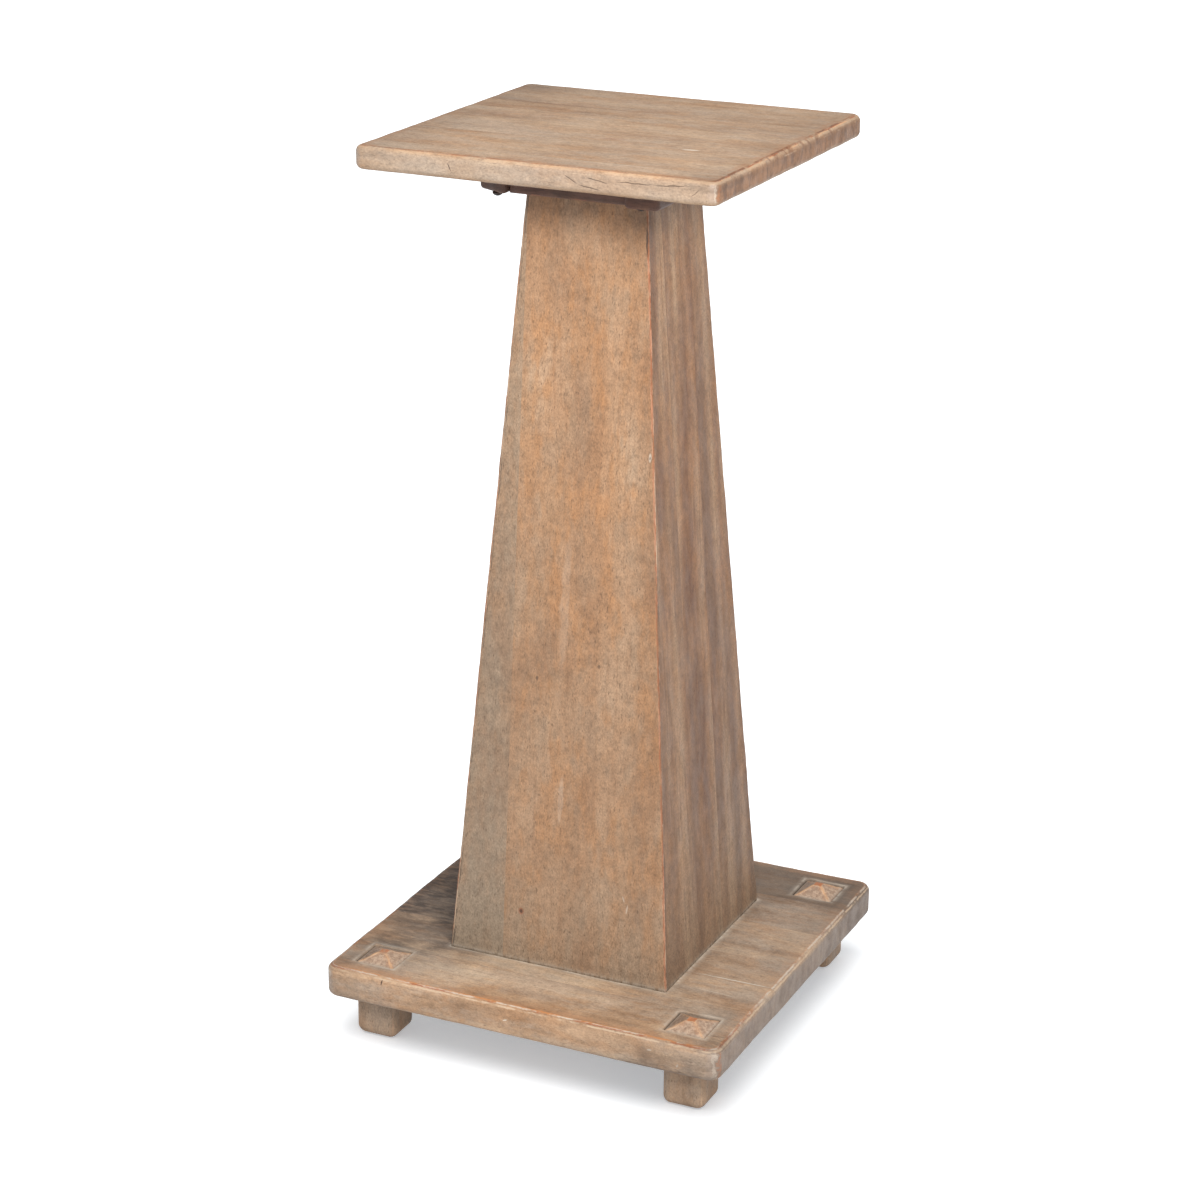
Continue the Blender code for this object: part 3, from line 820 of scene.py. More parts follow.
# %% [markdown]
# The base is a thicker board of the same make, greyer and dirtier because it stands near the floor. Four square
# mortises go right through it, one near each corner, and their rims are eased. Dirt lies round the column's foot and
# round each mortise, with a thin pale line of dried wax beside it; the front edge is worn to sienna along its length.
# Painted shade darkens the back left of its top, where the column's shade falls, the walls of the mortises and the
# lower rim.
# %% The base board
BASE_CORNER = 0.015
BASE_EDGE = 0.006
BASE_SEAMS = (-0.1458, -0.0658, 0.0682, 0.1362)
MORTISE_HALF = 0.02155
MORTISE_CORNER = 0.0033
MORTISE_EASING = 0.0015
MORTISE_REACH = 0.004

BASE_FRONT = -0.2162
BASE_TOP = 0.0814
# The pale lines on the rim are partly wear and partly a painted highlight.
BASE_LINES = (
    (-0.0080, 0.0070, paint(164, 122, 90), 0.7, 0.5, "red"),
    (-0.0040, 0.0016, paint(176, 118, 74), 0.85, 0.85, "red"),
    (0.0002, 0.0012, BURNISH_AND_HIGHLIGHT, 0.7, 0.8, "wear"),
    (-0.0030, 0.0014, paint(186, 172, 156), 0.65, 0.8, "wear"),
    (-0.0024, 0.0013, SIENNA, 0.6, 0.8, "red"),
)


def base_nick(along, height, length, turn, colour, width=0.0022, strength=0.7):
    return mark_at((along, BASE_FRONT, height), length, width, turn, colour, strength, on_edge=True)


BASE_MARKS = (
    base_nick(-0.1491, 0.0762, 0.007, 80, DARK_MARK, 0.0018, 0.9),
    base_nick(0.1450, 0.0692, 0.006, 10, PALE_MARK),
    base_nick(0.1746, 0.0589, 0.005, 60, PALE_MARK),
    base_nick(-0.0103, 0.0663, 0.006, 20, PALE_MARK),
    mark_at((0.170, -0.0655, BASE_TOP), 0.100, 0.0022, 1, PALE_MARK, 0.8, 0.5),
    mark_at((0.165, -0.098, BASE_TOP), 0.060, 0.0011, -3, PALE_MARK, 0.45, 0.5),
)

BASE_WOOD = weathered_wood(
    "base wood",
    tones=(paint(124, 96, 72), paint(166, 136, 108), paint(188, 162, 134)),
    grey=paint(157, 143, 128),
    cover=0.62,
    planks=((0.0, 0.0), (0.03, 0.08), (0.12, 0.15), (0.10, 0.19), (0.08, 0.66)),
    seams=BASE_SEAMS,
    streaks=50.0,
    contrast=0.52,
    clouds=0.8,
    veins=0.35,
    pores=0.35,
    lines=BASE_LINES,
    marks=BASE_MARKS,
    end_tones=(paint(96, 83, 74), paint(116, 102, 92)),
    end_stretch=(9.0, 80.0, 60.0),
    seed=2.0,
)

BASE_CHIPS = ((-0.116, 0.012), (0.006, 0.016), (0.065, 0.010), (0.130, 0.014))

post_names = ("front_left", "front_right", "back_left", "back_right")
post_boxes = {name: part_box("foot_post_" + name) for name in post_names}
post_centres = {name: (low + high) / 2 for name, (low, high) in post_boxes.items()}


def mortise_cells(xs, ys):
    """Which cells of the base are wood: all but those over a mortise."""
    middle_x = (xs[1:] + xs[:-1]) / 2
    middle_y = (ys[1:] + ys[:-1]) / 2
    kept = np.ones((len(middle_x), len(middle_y)), bool)
    for centre in post_centres.values():
        inside_x = np.abs(middle_x - centre.x) < MORTISE_HALF
        inside_y = np.abs(middle_y - centre.y) < MORTISE_HALF
        kept &= ~(inside_x[:, None] & inside_y[None, :])
    return kept


def mortise_lines(low, high, seams=()):
    """Grid lines over the base, close together at its edges and at the sides of its mortises."""
    centre = max(abs(middle.x) for middle in post_centres.values())
    stops = [(low, EDGE_SPACING), (low + RIM_REACH, FACE_SPACING)]
    for side in (-1, 1):
        inner, outer = sorted((side * centre - MORTISE_HALF, side * centre + MORTISE_HALF))
        stops += [
            (inner - MORTISE_REACH, 0.0006),
            (inner, 0.0009),
            (inner + 0.0035, FACE_SPACING),
            (outer - 0.0035, 0.0009),
            (outer, 0.0006),
            (outer + MORTISE_REACH, FACE_SPACING),
        ]
    for seam in seams:
        stops += [(seam - SEAM_HALF, SEAM_HALF), (seam + SEAM_HALF, FACE_SPACING)]
    return grid_lines(*sorted(stops), (high - RIM_REACH, EDGE_SPACING), (high, 0))


def ease_mortise(points, centre, top):
    """Rounds the corners of one mortise and eases its upper rim. Returns how far each point is from its wall."""
    u, v = points[:, 0] - centre.x, points[:, 1] - centre.y
    ring = np.maximum(np.abs(u), np.abs(v))
    away = ring - MORTISE_HALF
    near = (away > -1e-6) & (away < MORTISE_REACH)
    drop = top - points[:, 2]
    upper = near & (drop < 0.02)
    radius = MORTISE_EASING * (1.15 + 0.25 * wander(points * (1, 1, 0), 0.02, 23))
    new_away, new_drop, _ = roll(np.maximum(away, 0), drop, radius)
    scale = np.where(upper, (MORTISE_HALF + new_away) / np.maximum(ring, 1e-9), 1.0)
    u, v = u * scale, v * scale
    ring = np.maximum(np.abs(u), np.abs(v))
    corner = MORTISE_CORNER * np.clip(1 - (ring - MORTISE_HALF) / MORTISE_REACH, 0.02, 1)
    past_u, past_v = np.abs(u) - (ring - corner), np.abs(v) - (ring - corner)
    at_corner = near & (past_u > 0) & (past_v > 0)
    length = np.where(at_corner, np.hypot(past_u, past_v), 1.0)
    square = np.maximum(past_u, past_v)
    u = np.where(at_corner, np.sign(u) * (ring - corner + past_u * square / length), u)
    v = np.where(at_corner, np.sign(v) * (ring - corner + past_v * square / length), v)
    points[:, 0] = np.where(near, centre.x + u, points[:, 0])
    points[:, 1] = np.where(near, centre.y + v, points[:, 1])
    points[:, 2] = np.where(upper, top - new_drop, points[:, 2])
    return away


def make_base():
    low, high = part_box("base_board")
    xs = mortise_lines(low.x, high.x)
    ys = mortise_lines(low.y, high.y, BASE_SEAMS[1:3])
    zs = grid_lines(
        (low.z, EDGE_SPACING), (low.z + BASE_EDGE, 0.0035), (high.z - BASE_EDGE - 0.002, 0.0008), (high.z, 0)
    )
    points, quads = block_skin(xs, ys, zs, mortise_cells(xs, ys))
    seam = seam_share(points[:, 1], BASE_SEAMS)
    flat = points.copy()
    from_wall = np.min([ease_mortise(flat, centre, high.z) for centre in post_centres.values()], axis=0)
    in_mortise = from_wall < 1e-6
    edges = wear_board(points, low, high, BASE_CORNER, BASE_EDGE, seed=21)
    near_mortise = from_wall < MORTISE_REACH
    points[near_mortise] = flat[near_mortise]
    points[:, 2] -= np.where(edges["upper"] & ~near_mortise, seam * SEAM_DEPTH, 0)
    for y, length in BASE_CHIPS:
        dent(points, (high.x, y, high.z), (0.005, length / 2, 0.005), (-0.0016, 0, -0.0014))

    column_low, column_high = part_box("column_board_front")
    foot_half = -column_low.y
    from_column = np.hypot(*[np.maximum(np.abs(points[:, axis]) - foot_half, 0) for axis in (0, 1)])
    top_side = points[:, 2] > high.z - 0.004
    x, y, z = points.T
    grime = 0.42 * np.exp(-np.maximum(from_column - 0.002, 0) / 0.014)
    grime += 0.42 * np.exp(-np.maximum(from_wall, 0) / 0.012)
    # Painted shade, with some dirt: the back left of the top, where the column's shade falls, is darkened.
    back_dirt_and_shade = 0.55 * np.clip((y + 0.20) / 0.05, 0, 1) + 0.55 * np.clip((y + 0.11) / 0.06, 0, 1)
    grime += np.clip((-x - 0.07) / 0.05, 0, 1) * back_dirt_and_shade
    grime += 0.16 * np.clip((x - 0.16) / 0.03, 0, 1) + 0.4 * smudge(points, (-0.21, -0.205), (0.03, 0.03))
    grime += 0.35 * smudge(points, (0.205, -0.20), (0.035, 0.03))
    on_top = grime * (0.85 + 0.25 * wander(points, 0.04, 24))
    at_front = 0.38 * smudge(points, (-0.21,), (0.05,)) + 0.55 * np.clip((x - 0.06) / 0.08, 0, 1)
    at_front *= np.clip((high.z - z) / 0.014, 0.3, 1) * np.maximum(-edges["out_y"], 0)
    # Painted shade: the lower rim and the underside are darkened.
    lower_rim_shade = 0.55 * np.exp(-(z - low.z) / 0.003)
    grime = np.where(top_side, np.maximum(on_top, at_front), at_front + lower_rim_shade)
    # Painted shade: the walls inside the mortises are darkened.
    grime = np.where(in_mortise & (points[:, 2] < high.z - 0.0008), 0.5, grime) + 0.2 * seam
    wax = 0.7 * np.exp(-((from_column / 0.0026) ** 2))
    wax += 0.42 * np.exp(-(((from_wall - 0.0018) / 0.0022) ** 2))
    wax = np.where(top_side, wax * (0.75 + 0.35 * wander(points, 0.03, 25)), 0)
    wear = side_strength(edges["out_x"], edges["out_y"], 1.0, 0.95, 0.7, 0.75) + 0.25 * edges["at_corner"]
    wear = wear * np.where(edges["upper"], 1.0, 0.5)
    red = side_strength(edges["out_x"], edges["out_y"], 1.0, 0.25, 0.6, 0.7) * edges["upper"]
    red += 0.7 * smudge(points, (0.2162, -0.195), (0.03, 0.05)) * edges["upper"]
    facts = board_facts(points, edges, wear, np.clip(red, 0, 1), np.clip(grime, 0, 0.94), np.clip(wax, 0, 1))
    facts["wash"] = -0.30 * smudge(points, (0.01, -0.21), (0.10, 0.05))
    return place_piece("base_board", points, quads, BASE_WOOD, facts)


make_base()

# %% [markdown]
# The column is four boards that taper from foot to head and meet in mitres at the corners, with a hollow inside. A
# board is a block whose cells are mapped onto the taper: across shrinks with height and the ends of each layer follow
# the mitre. Close to the corners, or arrises, lines keep their true distance from the edge, so wear stays even.
# %% The column boards
COLUMN_HEAD_HALF = 0.06275
COLUMN_WALL = 0.0201
ARRIS_RADIUS = 0.002
ARRIS_REACH = 0.008
COLUMN_STEP = 0.0034

WARM_TONES = (paint(122, 85, 57), paint(144, 108, 78), paint(157, 129, 103))
# The side boards are browner, and their tones are also darkened as painted shade of the sides that the lamp lights
# less.
BROWN_AND_SHADED_TONES = (paint(98, 65, 43), paint(123, 88, 61), paint(147, 116, 88))
COLUMN_LOOK = {
    "grey": paint(134, 119, 101),
    # The pale line beside the arris is partly burnish and partly a painted highlight.
    "lines": (
        (0.0, 0.0014, SIENNA, 0.8, 0.85, "wear"),
        (0.0002, 0.0017, paint(174, 126, 98), 0.5, 0.8, "wear"),
        (0.0012, 0.0008, BURNISH_AND_HIGHLIGHT, 0.4, 0.8, "wear"),
        (0.0026, 0.0007, DIRT_AND_SHADE, 0.5, 0.8, "wear"),
    ),
}


def face_mark(height, across, length, width, turn=0.0, colour=DARK_MARK, strength=0.7, stray=0.0015):
    return mark_at((height, across, 0.0), length, width, turn, colour, strength, stray=stray)


FRONT_MARKS = (
    face_mark(0.3827, -0.0335, 0.005, 0.004, strength=0.6),
    face_mark(0.4049, 0.0330, 0.005, 0.004, strength=0.6),
    face_mark(0.1354, -0.0420, 0.009, 0.007, colour=REDDISH_MARK),
    face_mark(0.1354, -0.0420, 0.005, 0.004, strength=0.8),
    face_mark(0.6197, 0.0770, 0.011, 0.0035, colour=PALE_MARK, strength=0.55),
    face_mark(0.6190, 0.0768, 0.004, 0.0014, strength=0.8),
    face_mark(0.8245, 0.0640, 0.034, 0.0022, -4, strength=0.9, stray=0.003),
    face_mark(0.1600, 0.0740, 0.012, 0.0022, 8, PALE_MARK, 0.4),
    face_mark(0.1700, 0.0700, 0.008, 0.0018, -20, PALE_MARK, 0.4),
    face_mark(0.2610, -0.0030, 0.060, 0.007, 2, PALE_MARK, 0.16, stray=0.006),
    face_mark(0.4600, -0.0060, 0.160, 0.012, 1, PALE_MARK, 0.10, stray=0.008),
    # A broad faint dark patch under the head: painted shade of the top, with some dirt.
    face_mark(0.8350, -0.0300, 0.045, 0.050, 10, DIRT_AND_SHADE, 0.10, stray=0.03),
)
COLUMN_BOARDS = {
    "front": {
        "tones": WARM_TONES, "cover": 0.30, "seams": (-0.061,), "planks": ((0.42, 0.06), (0.05, 0.0)),
        "streaks": 26.0, "contrast": 0.4, "clouds": 0.55, "ripple": 0.25, "fineness": 1.25, "veins": 0.3, "ochre": 0.55, "pores": 0.6,
        "marks": FRONT_MARKS, "seed": 3.0,
    },
    "right": {
        "tones": BROWN_AND_SHADED_TONES, "cover": 0.16, "seams": (-0.034, 0.027),
        "planks": ((0.02, 0.05), (0.0, 0.04), (0.04, 0.06)),
        "streaks": 40.0, "contrast": 1.2, "clouds": 0.35, "fineness": 1.3, "veins": 0.6, "seed": 6.0,
    },
    "back": {
        "tones": WARM_TONES, "cover": 0.45, "seams": (0.022,), "planks": ((0.2, 0.05), (0.05, 0.05)),
        "streaks": 36.0, "contrast": 0.8, "seed": 9.0,
    },
    "left": {
        "tones": BROWN_AND_SHADED_TONES, "cover": 0.45, "seams": (-0.018,), "planks": ((0.1, 0.05), (0.22, 0.08)),
        "streaks": 44.0, "contrast": 1.2, "seed": 12.0,
    },
}


def make_column_board(side, turns):
    low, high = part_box("column_board_front")
    foot_half = -low.y
    xs = grid_lines(
        (-foot_half, 0.0007), (-foot_half + 0.004, EDGE_SPACING), (-foot_half + ARRIS_REACH, 0.0058),
        (foot_half - ARRIS_REACH, EDGE_SPACING), (foot_half - 0.004, 0.0007), (foot_half, 0),
    )
    ys = grid_lines((0.0, 0.0025), (0.0025, 0.006), (COLUMN_WALL, 0))
    zs = grid_lines((low.z, COLUMN_STEP), (high.z, 0))
    block, quads = block_skin(xs, ys, zs, np.ones((len(xs) - 1, len(ys) - 1), bool))
    across, depth, z = block.T
    half = foot_half + (COLUMN_HEAD_HALF - foot_half) * (z - low.z) / (high.z - low.z)
    from_edge = foot_half - np.abs(across)
    inner = np.abs(across) * (half - ARRIS_REACH) / (foot_half - ARRIS_REACH)
    spread = np.where(from_edge <= ARRIS_REACH, half - from_edge, inner)
    share = spread / half
    edge_place = np.stack([np.sign(across) + 3.0 * turns, 0 * z, z], 1)
    radius = ARRIS_RADIUS * (1.15 + 0.3 * wander(edge_place, 0.05, 31) + 0.25 * wander(edge_place, 0.016, 32))
    on_face = (depth < 1e-9) & (from_edge < radius)
    turn = math.pi / 4 * (1 - from_edge / radius)
    spread = np.where(on_face, half - radius * (1 - np.sin(turn)), spread)
    sunk = np.where(on_face, radius * (1 - np.cos(turn)), 0.0)
    sink = 0.0002 * (1 + wander(block + 3.0 * turns, 0.08, 33)) * np.clip(from_edge / 0.01, 0, 1)
    x = np.sign(across) * np.where(depth > 0, share * (half - depth), spread)
    y = -(half - depth - np.where(depth < 1e-9, sunk + sink, 0.0))
    arc = math.pi / 4 * np.minimum(from_edge, radius) + np.maximum(from_edge - radius, 0)
    rim = -np.sign(across) * arc + np.where(across == 0, 1.0, 0.0)
    turned = [(x, y), (-y, x), (-x, -y), (y, -x)][turns]
    points = np.stack([*turned, z], 1)

    from_foot, from_head = z - low.z, high.z - z
    wear = 0.8 + 0.3 * wander(edge_place, 0.12, 34)
    # Painted shade: the head is darkened where the top and the mounting board would shade it, and a broad band over the
    # lower half is darkened as the lamp's light would fall off there, with a trace more at the foot.
    grime = 0.02 * np.exp(-from_foot / 0.016) + 0.16 * np.exp(-(((from_foot - 0.22) / 0.24) ** 2)) + 0.42 * np.exp(-from_head / 0.028)
    # Darker towards the arrises.
    grime += 0.10 * np.exp(-from_edge / 0.02)
    grime = grime * (0.9 + 0.3 * wander(points, 0.03, 35))
    wax = 0.9 * np.exp(-((from_foot / 0.0022) ** 2))
    facts = {
        "grain": np.stack([z, x, depth + 0.3 * turns], 1),
        "rim": rim,
        "wear": np.clip(wear, 0, 1),
        "grime": np.clip(grime, 0, 0.85),
        "wash": 0.40 * np.exp(-from_foot / 0.10),
        "wax": wax,
        "end_grain": 0 * z,
    }
    finish = weathered_wood("column wood " + side, **COLUMN_LOOK, **COLUMN_BOARDS[side])
    return place_piece("column_board_" + side, points, quads, finish, facts)


for turns, side in enumerate(COLUMN_BOARDS):
    make_column_board(side, turns)

# %% [markdown]
# Each foot post is one piece of wood: a square foot, a slightly thinner tenon that fills the mortise, and a pyramid
# head that stands a few millimetres proud. The ridges of the heads are worn to sienna and their faces are pitted.
# The post is again a grid block: its levels carry their own half width, and its top face is lifted to the pyramid.
# %% The foot posts
FOOT_HALF = 0.02265
FOOT_TOP = 0.0475
FOOT_CORNER = 0.0095
FOOT_EDGE = 0.0105
FOOT_SHOULDER = 0.004
TENON_HALF = 0.02125
TENON_CORNER = 0.003
HEAD_LOW = 0.0794
HEAD_FLAT = 0.0042
HEAD_WORN = {"front_left": 0.0022, "front_right": 0.0024, "back_left": 0.0012, "back_right": 0.0004}
# The thinnest pale line is partly burnish and partly a painted highlight.
FOOT_LINES = (
    (0.0, 0.0046, paint(166, 120, 86), 0.9, 0.35, "wear"),
    (-0.0050, 0.0022, paint(162, 96, 56), 1.0, 0.95, "wear"),
    (0.0, 0.0017, paint(190, 148, 110), 0.85, 0.65, "wear"),
    (0.0016, 0.0009, BURNISH_AND_HIGHLIGHT, 0.5, 0.8, "wear"),
)

FOOT_WOOD = weathered_wood(
    "foot wood",
    tones=(paint(118, 90, 66), paint(147, 118, 92), paint(170, 140, 112)),
    grey=paint(138, 122, 106),
    cover=0.6,
    planks=((0.08, 0.03),),
    streaks=60.0,
    contrast=0.9,
    lines=FOOT_LINES,
    end_tones=(paint(172, 147, 126), paint(136, 112, 94)),
    end_stretch=(260.0, 260.0, 260.0),
    seed=15.0,
)


def make_foot_post(name, seed):
    low, high = post_boxes[name]
    centre = post_centres[name]
    spacing = 0.0011
    lines = grid_lines((-1.0, spacing / TENON_HALF), (1.0, 0))
    foot_zs = grid_lines((0.0, 0.0009), (FOOT_EDGE, 0.0022), (FOOT_TOP - FOOT_SHOULDER, 0.0009), (FOOT_TOP, 0))
    tenon_zs = grid_lines((FOOT_TOP, 0.006), (HEAD_LOW, 0))
    zs = np.concatenate([foot_zs, tenon_zs])
    block, quads = block_skin(lines, lines, np.arange(len(zs), dtype=float), np.ones((len(lines) - 1,) * 2, bool))
    level = block[:, 2].astype(int)
    z = zs[level]
    on_foot = level < len(foot_zs)
    half = np.where(on_foot, FOOT_HALF, TENON_HALF)
    corner = np.where(on_foot, FOOT_CORNER, TENON_CORNER)
    square = np.maximum(np.abs(block[:, 0]), np.abs(block[:, 1]))
    top_face = level == level.max()

    x, y, inset, out_x, out_y, at_corner = round_plan(block[:, 0] * half, block[:, 1] * half, half, half, corner)
    place = np.stack([out_x, out_y, z], 1) * (0.01, 0.01, 1) + seed
    lower = z < FOOT_TOP / 2
    radius = np.where(lower, FOOT_EDGE, FOOT_SHOULDER) * (0.9 + 0.1 * wander(place, 0.02, 41))
    drop = np.where(lower, z, FOOT_TOP - z)
    inset_now, drop_now, rim = roll(inset, drop, radius)
    x = np.where(on_foot, x - out_x * (inset_now - inset), x)
    y = np.where(on_foot, y - out_y * (inset_now - inset), y)
    z = np.where(on_foot, np.where(lower, drop_now, FOOT_TOP - drop_now), z)

    slope = np.clip((1 - square) / (1 - HEAD_FLAT / TENON_HALF), 0, 1)
    lift = (high.z - HEAD_WORN[name] - HEAD_LOW) * slope
    away = TENON_HALF * np.abs(np.abs(block[:, 0]) - np.abs(block[:, 1])) / math.sqrt(2)
    ridge = np.exp(-((away / 0.0016) ** 2)) * np.clip(square * 6 - 0.5, 0, 1)
    lift = lift - 0.0005 * ridge * np.sin(np.pi * np.clip(slope, 0, 1)) - 0.0004 * np.exp(-(((slope - 1) / 0.09) ** 2))
    spin = np.stack([block[:, 0], block[:, 1], 0 * z], 1) * TENON_HALF + seed
    lift = lift - 0.00035 * (1 + wander(spin, 0.009, 42)) * np.clip(slope * 4, 0, 1)
    z = np.where(top_face, HEAD_LOW + np.maximum(lift, 0), z)
    points = np.stack([centre.x + x, centre.y + y, z], 1)

    arris = math.sqrt(2) * FOOT_HALF * (1 - np.minimum(np.abs(block[:, 0]), np.abs(block[:, 1])) / square.clip(1e-6))
    from_edge = np.where(on_foot, np.minimum(np.abs(rim) + 0.0012, arris + 0.0008), away)
    from_edge = np.where(top_face & (square * TENON_HALF < HEAD_FLAT), -0.0050, from_edge)
    wear = np.where(top_face, 1.0, np.where(on_foot, 0.6, 0.0)) * (0.85 + 0.2 * wander(points, 0.02, 43))
    shaded_side = np.where(np.abs(block[:, 0]) > np.abs(block[:, 1]), block[:, 0] < 0, block[:, 1] > 0)
    # Painted shade: the head's left and back faces, and its low slopes beside the mortise, are darkened.
    head_dirt_and_shade = 0.30 * np.clip(1 - slope * 4, 0, 1) + 0.45 * shaded_side * (slope < 1)
    # Painted shade: the top of the foot under the base and its bottom by the floor are darkened.
    foot_dirt_and_shade = 0.75 * np.exp(-(FOOT_TOP - z) / 0.007) + 0.35 * np.exp(-z / 0.003)
    # Painted shade: the tenon inside the mortise is darkened.
    grime = np.where(top_face, head_dirt_and_shade, np.where(on_foot, foot_dirt_and_shade, 0.5))
    facts = {
        "grain": np.stack([z, points[:, 0] - centre.x, points[:, 1] - centre.y + seed], 1),
        "rim": from_edge,
        "wear": np.clip(wear, 0, 1),
        "grime": grime,
        "wax": np.where(top_face, 0.25 * np.clip(1 - np.abs(slope - 0.12) * 9, 0, 1), 0.0),
        "end_grain": np.where(top_face & (slope < 1), 1.0, 0.0),
    }
    return place_piece("foot_post_" + name, points, quads, FOOT_WOOD, facts)


for index, name in enumerate(post_names):
    make_foot_post(name, 1.7 * index)

# %% [markdown]
# Under the top, in its shade, a mounting board crosses the head of the column and a cleat runs along each side of it.
# They are rougher than the rest and stained dark, and nobody sanded their edges with care. The left cleat was sawn
# out of square at its front end, so its outer corner there is set back.
# %% The mounting board and the cleats
SHADED_EDGE = 0.0015
CLEAT_CORNER = 0.006
CLEAT_EDGE = 0.003
CLEAT_SKEW = 0.018

SHADED_WOOD = weathered_wood(
    "shaded wood",
    tones=(paint(68, 42, 33), paint(86, 56, 44), paint(101, 69, 55)),
    grey=paint(85, 65, 55),
    cover=0.45,
    planks=((0.05, 0.0),),
    streaks=60.0,
    lines=((0.0, 0.0010, SIENNA, 0.4, 0.7, "wear"),),
    end_tones=(paint(62, 39, 31), paint(92, 62, 50)),
    end_stretch=(9.0, 22.0, 160.0),
    seed=18.0,
)


def make_shaded_board(name, corner, edge, skew, seed):
    low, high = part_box(name)
    middle = (low + high) / 2
    half = (high - low) / 2
    reach = max(corner, edge) + 0.001
    xs = grid_lines((-half.x, 0.001), (-half.x + reach, 0.004), (half.x - reach, 0.001), (half.x, 0))
    ys = grid_lines((-half.y, 0.001), (-half.y + reach, 0.004), (half.y - reach, 0.001), (half.y, 0))
    zs = grid_lines((low.z, 0.001), (low.z + edge, 0.003), (high.z - edge, 0.001), (high.z, 0))
    points, quads = block_skin(xs, ys, zs, np.ones((len(xs) - 1, len(ys) - 1), bool))
    edges = wear_board(points, Vector((-half.x, -half.y, low.z)), Vector((half.x, half.y, high.z)), corner, edge, seed)
    outward = 0.5 - 0.5 * points[:, 0] / half.x
    forward = np.clip(-points[:, 1] / half.y, 0, 1)
    points[:, 1] += skew * outward * forward
    points[:, 0] += middle.x
    points[:, 1] += middle.y
    wear = 0.55 + 0.3 * wander(points, 0.05, seed)
    grime = 0.25 + 0.25 * wander(points, 0.06, seed + 1)
    none = np.zeros(len(points))
    facts = board_facts(points, edges, np.clip(wear, 0, 1), none, np.clip(grime, 0, 1), none, grain_axis=1)
    facts["corner"] = none
    return place_piece(name, points, quads, SHADED_WOOD, facts)


make_shaded_board("mounting_board", 0.0015, SHADED_EDGE, 0.0, 51)
make_shaded_board("cleat_left", CLEAT_CORNER, CLEAT_EDGE, CLEAT_SKEW, 61)
make_shaded_board("cleat_right", CLEAT_CORNER, CLEAT_EDGE, 0.0, 71)

# %% [markdown]
# Four domed screws hold the cleats up. A screw is a turned part, so its outline is swept round its axis: shank, the
# flat underside of the head, and the dome. The slot across the dome is pressed into the mesh, not painted.
# %% The screws
SCREW_SIDES = 48
SHANK_RADIUS = 0.002
HEAD_RADIUS = 0.005
SLOT_HALF = 0.0006
SLOT_DEPTH = 0.0011


def dark_steel(name):
    finish = bpy.data.materials.new(name)
    finish.use_nodes = True
    tree = finish.node_tree
    surface = tree.nodes["Principled BSDF"]
    place = tree.nodes.new("ShaderNodeTexCoord").outputs["Object"]
    rust = cloud(tree, place, (420.0, 420.0, 420.0), 3.0, 0.6).outputs[0]
    colour = mix(tree, between(tree, rust, 0.5, 0.66), paint(52, 50, 50), paint(92, 62, 46))
    feed(tree, surface.inputs["Base Color"], colour)
    feed(tree, surface.inputs["Roughness"], between(tree, rust, 0.4, 0.66, 0.36, 0.75))
    surface.inputs["Metallic"].default_value = 0.8
    bump = tree.nodes.new("ShaderNodeBump")
    bump.inputs["Strength"].default_value = 0.4
    bump.inputs["Distance"].default_value = 0.0001
    feed(tree, bump.inputs["Height"], rust)
    feed(tree, surface.inputs["Normal"], bump.outputs[0])
    return finish


SCREW_STEEL = dark_steel("screw steel")


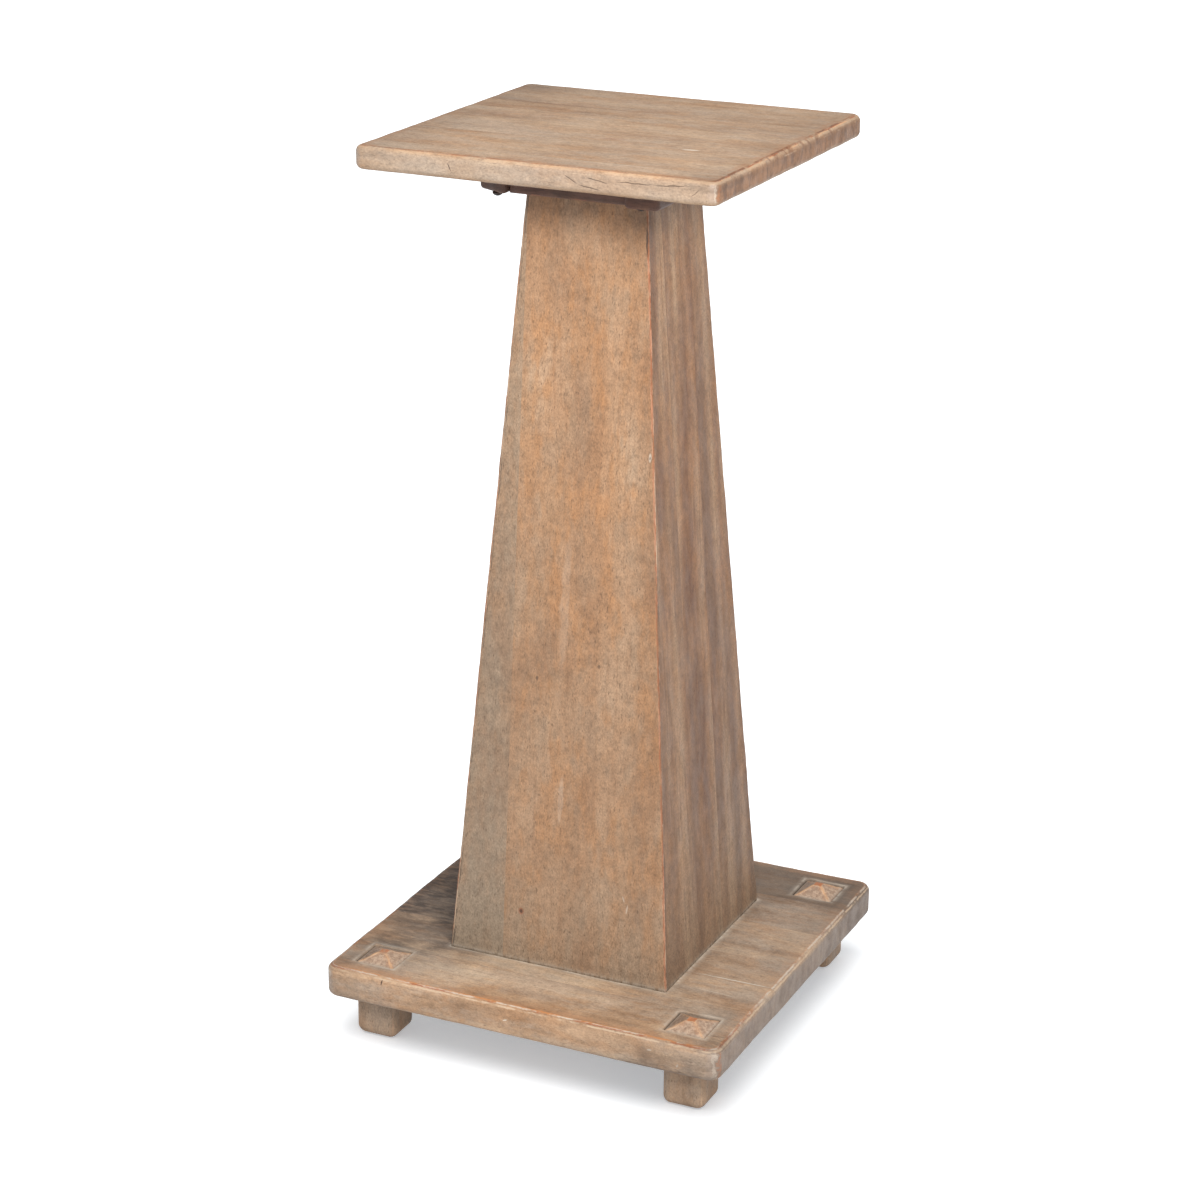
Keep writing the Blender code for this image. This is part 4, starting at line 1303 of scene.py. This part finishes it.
def make_screw(name):
    low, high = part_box(name)
    middle = (low + high) / 2
    head_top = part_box("cleat_left")[0].z - 0.0003
    dome = [(math.sin(t) * HEAD_RADIUS, low.z + (1 - math.cos(t)) * (head_top - low.z)) for t in np.linspace(0.05, math.pi / 2, 14)]
    shank = [(SHANK_RADIUS + 0.0008, head_top), (SHANK_RADIUS, head_top + 0.0004)]
    shank += [(SHANK_RADIUS, z) for z in np.linspace(head_top + 0.001, high.z - 0.001, 10)]
    outline = np.array([(0.0, low.z), *dome, *shank, (0.0006, high.z), (0.0, high.z)])
    angles = np.linspace(0, 2 * math.pi, SCREW_SIDES, endpoint=False)
    x = outline[:, :1] * np.cos(angles)
    y = outline[:, :1] * np.sin(angles)
    z = np.repeat(outline[:, 1:], SCREW_SIDES, 1)
    in_slot = (np.abs(y) < SLOT_HALF) & (z < head_top - 0.0006)
    z = np.where(in_slot, np.minimum(z + SLOT_DEPTH, head_top - 0.0002), z)
    points = np.stack([middle.x + x, middle.y + y, z], 2).reshape(-1, 3)
    ring, step = np.meshgrid(np.arange(len(outline) - 1), np.arange(SCREW_SIDES), indexing="ij")
    ring, step = ring.ravel(), step.ravel()
    after = (step + 1) % SCREW_SIDES
    quads = np.stack([ring * SCREW_SIDES + step, (ring + 1) * SCREW_SIDES + step,
                      (ring + 1) * SCREW_SIDES + after, ring * SCREW_SIDES + after], 1)
    return place_piece(name, points, quads, SCREW_STEEL)


for name in sorted(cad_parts):
    if name.startswith("cleat_screw"):
        make_screw(name)

# %% [markdown]
# The wood lamp should light the pedestal but not throw the column's long shadow over the paper, which a studio would
# retouch to white, and the paper lamp should leave the wood alone. Light linking does both without retouching: each
# lamp is told which objects receive its light, and under the paper lamp only the base and feet cast a shadow.
# %% What each lamp lights
def gather(name, objects):
    group = bpy.data.collections.new(name)
    for thing in objects:
        group.objects.link(thing)
    return group


low_pieces = [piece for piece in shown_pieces() if "foot_post" in piece.name or "base_board" in piece.name]
in_shade = ("mounting", "cleat")
sunny = [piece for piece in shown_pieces() if not any(word in piece.name for word in in_shade)]
wood_lamp.light_linking.receiver_collection = gather("lit by the wood lamp", sunny)
unshading = [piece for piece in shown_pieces() if "top_board" not in piece.name]
wood_lamp.light_linking.blocker_collection = gather("shade the wood", unshading)
paper_lamp.light_linking.receiver_collection = gather("lit by the paper lamp", [studio_floor])
paper_lamp.light_linking.blocker_collection = gather("shade the paper", low_pieces)
print("pieces that shade the paper:", len(low_pieces))
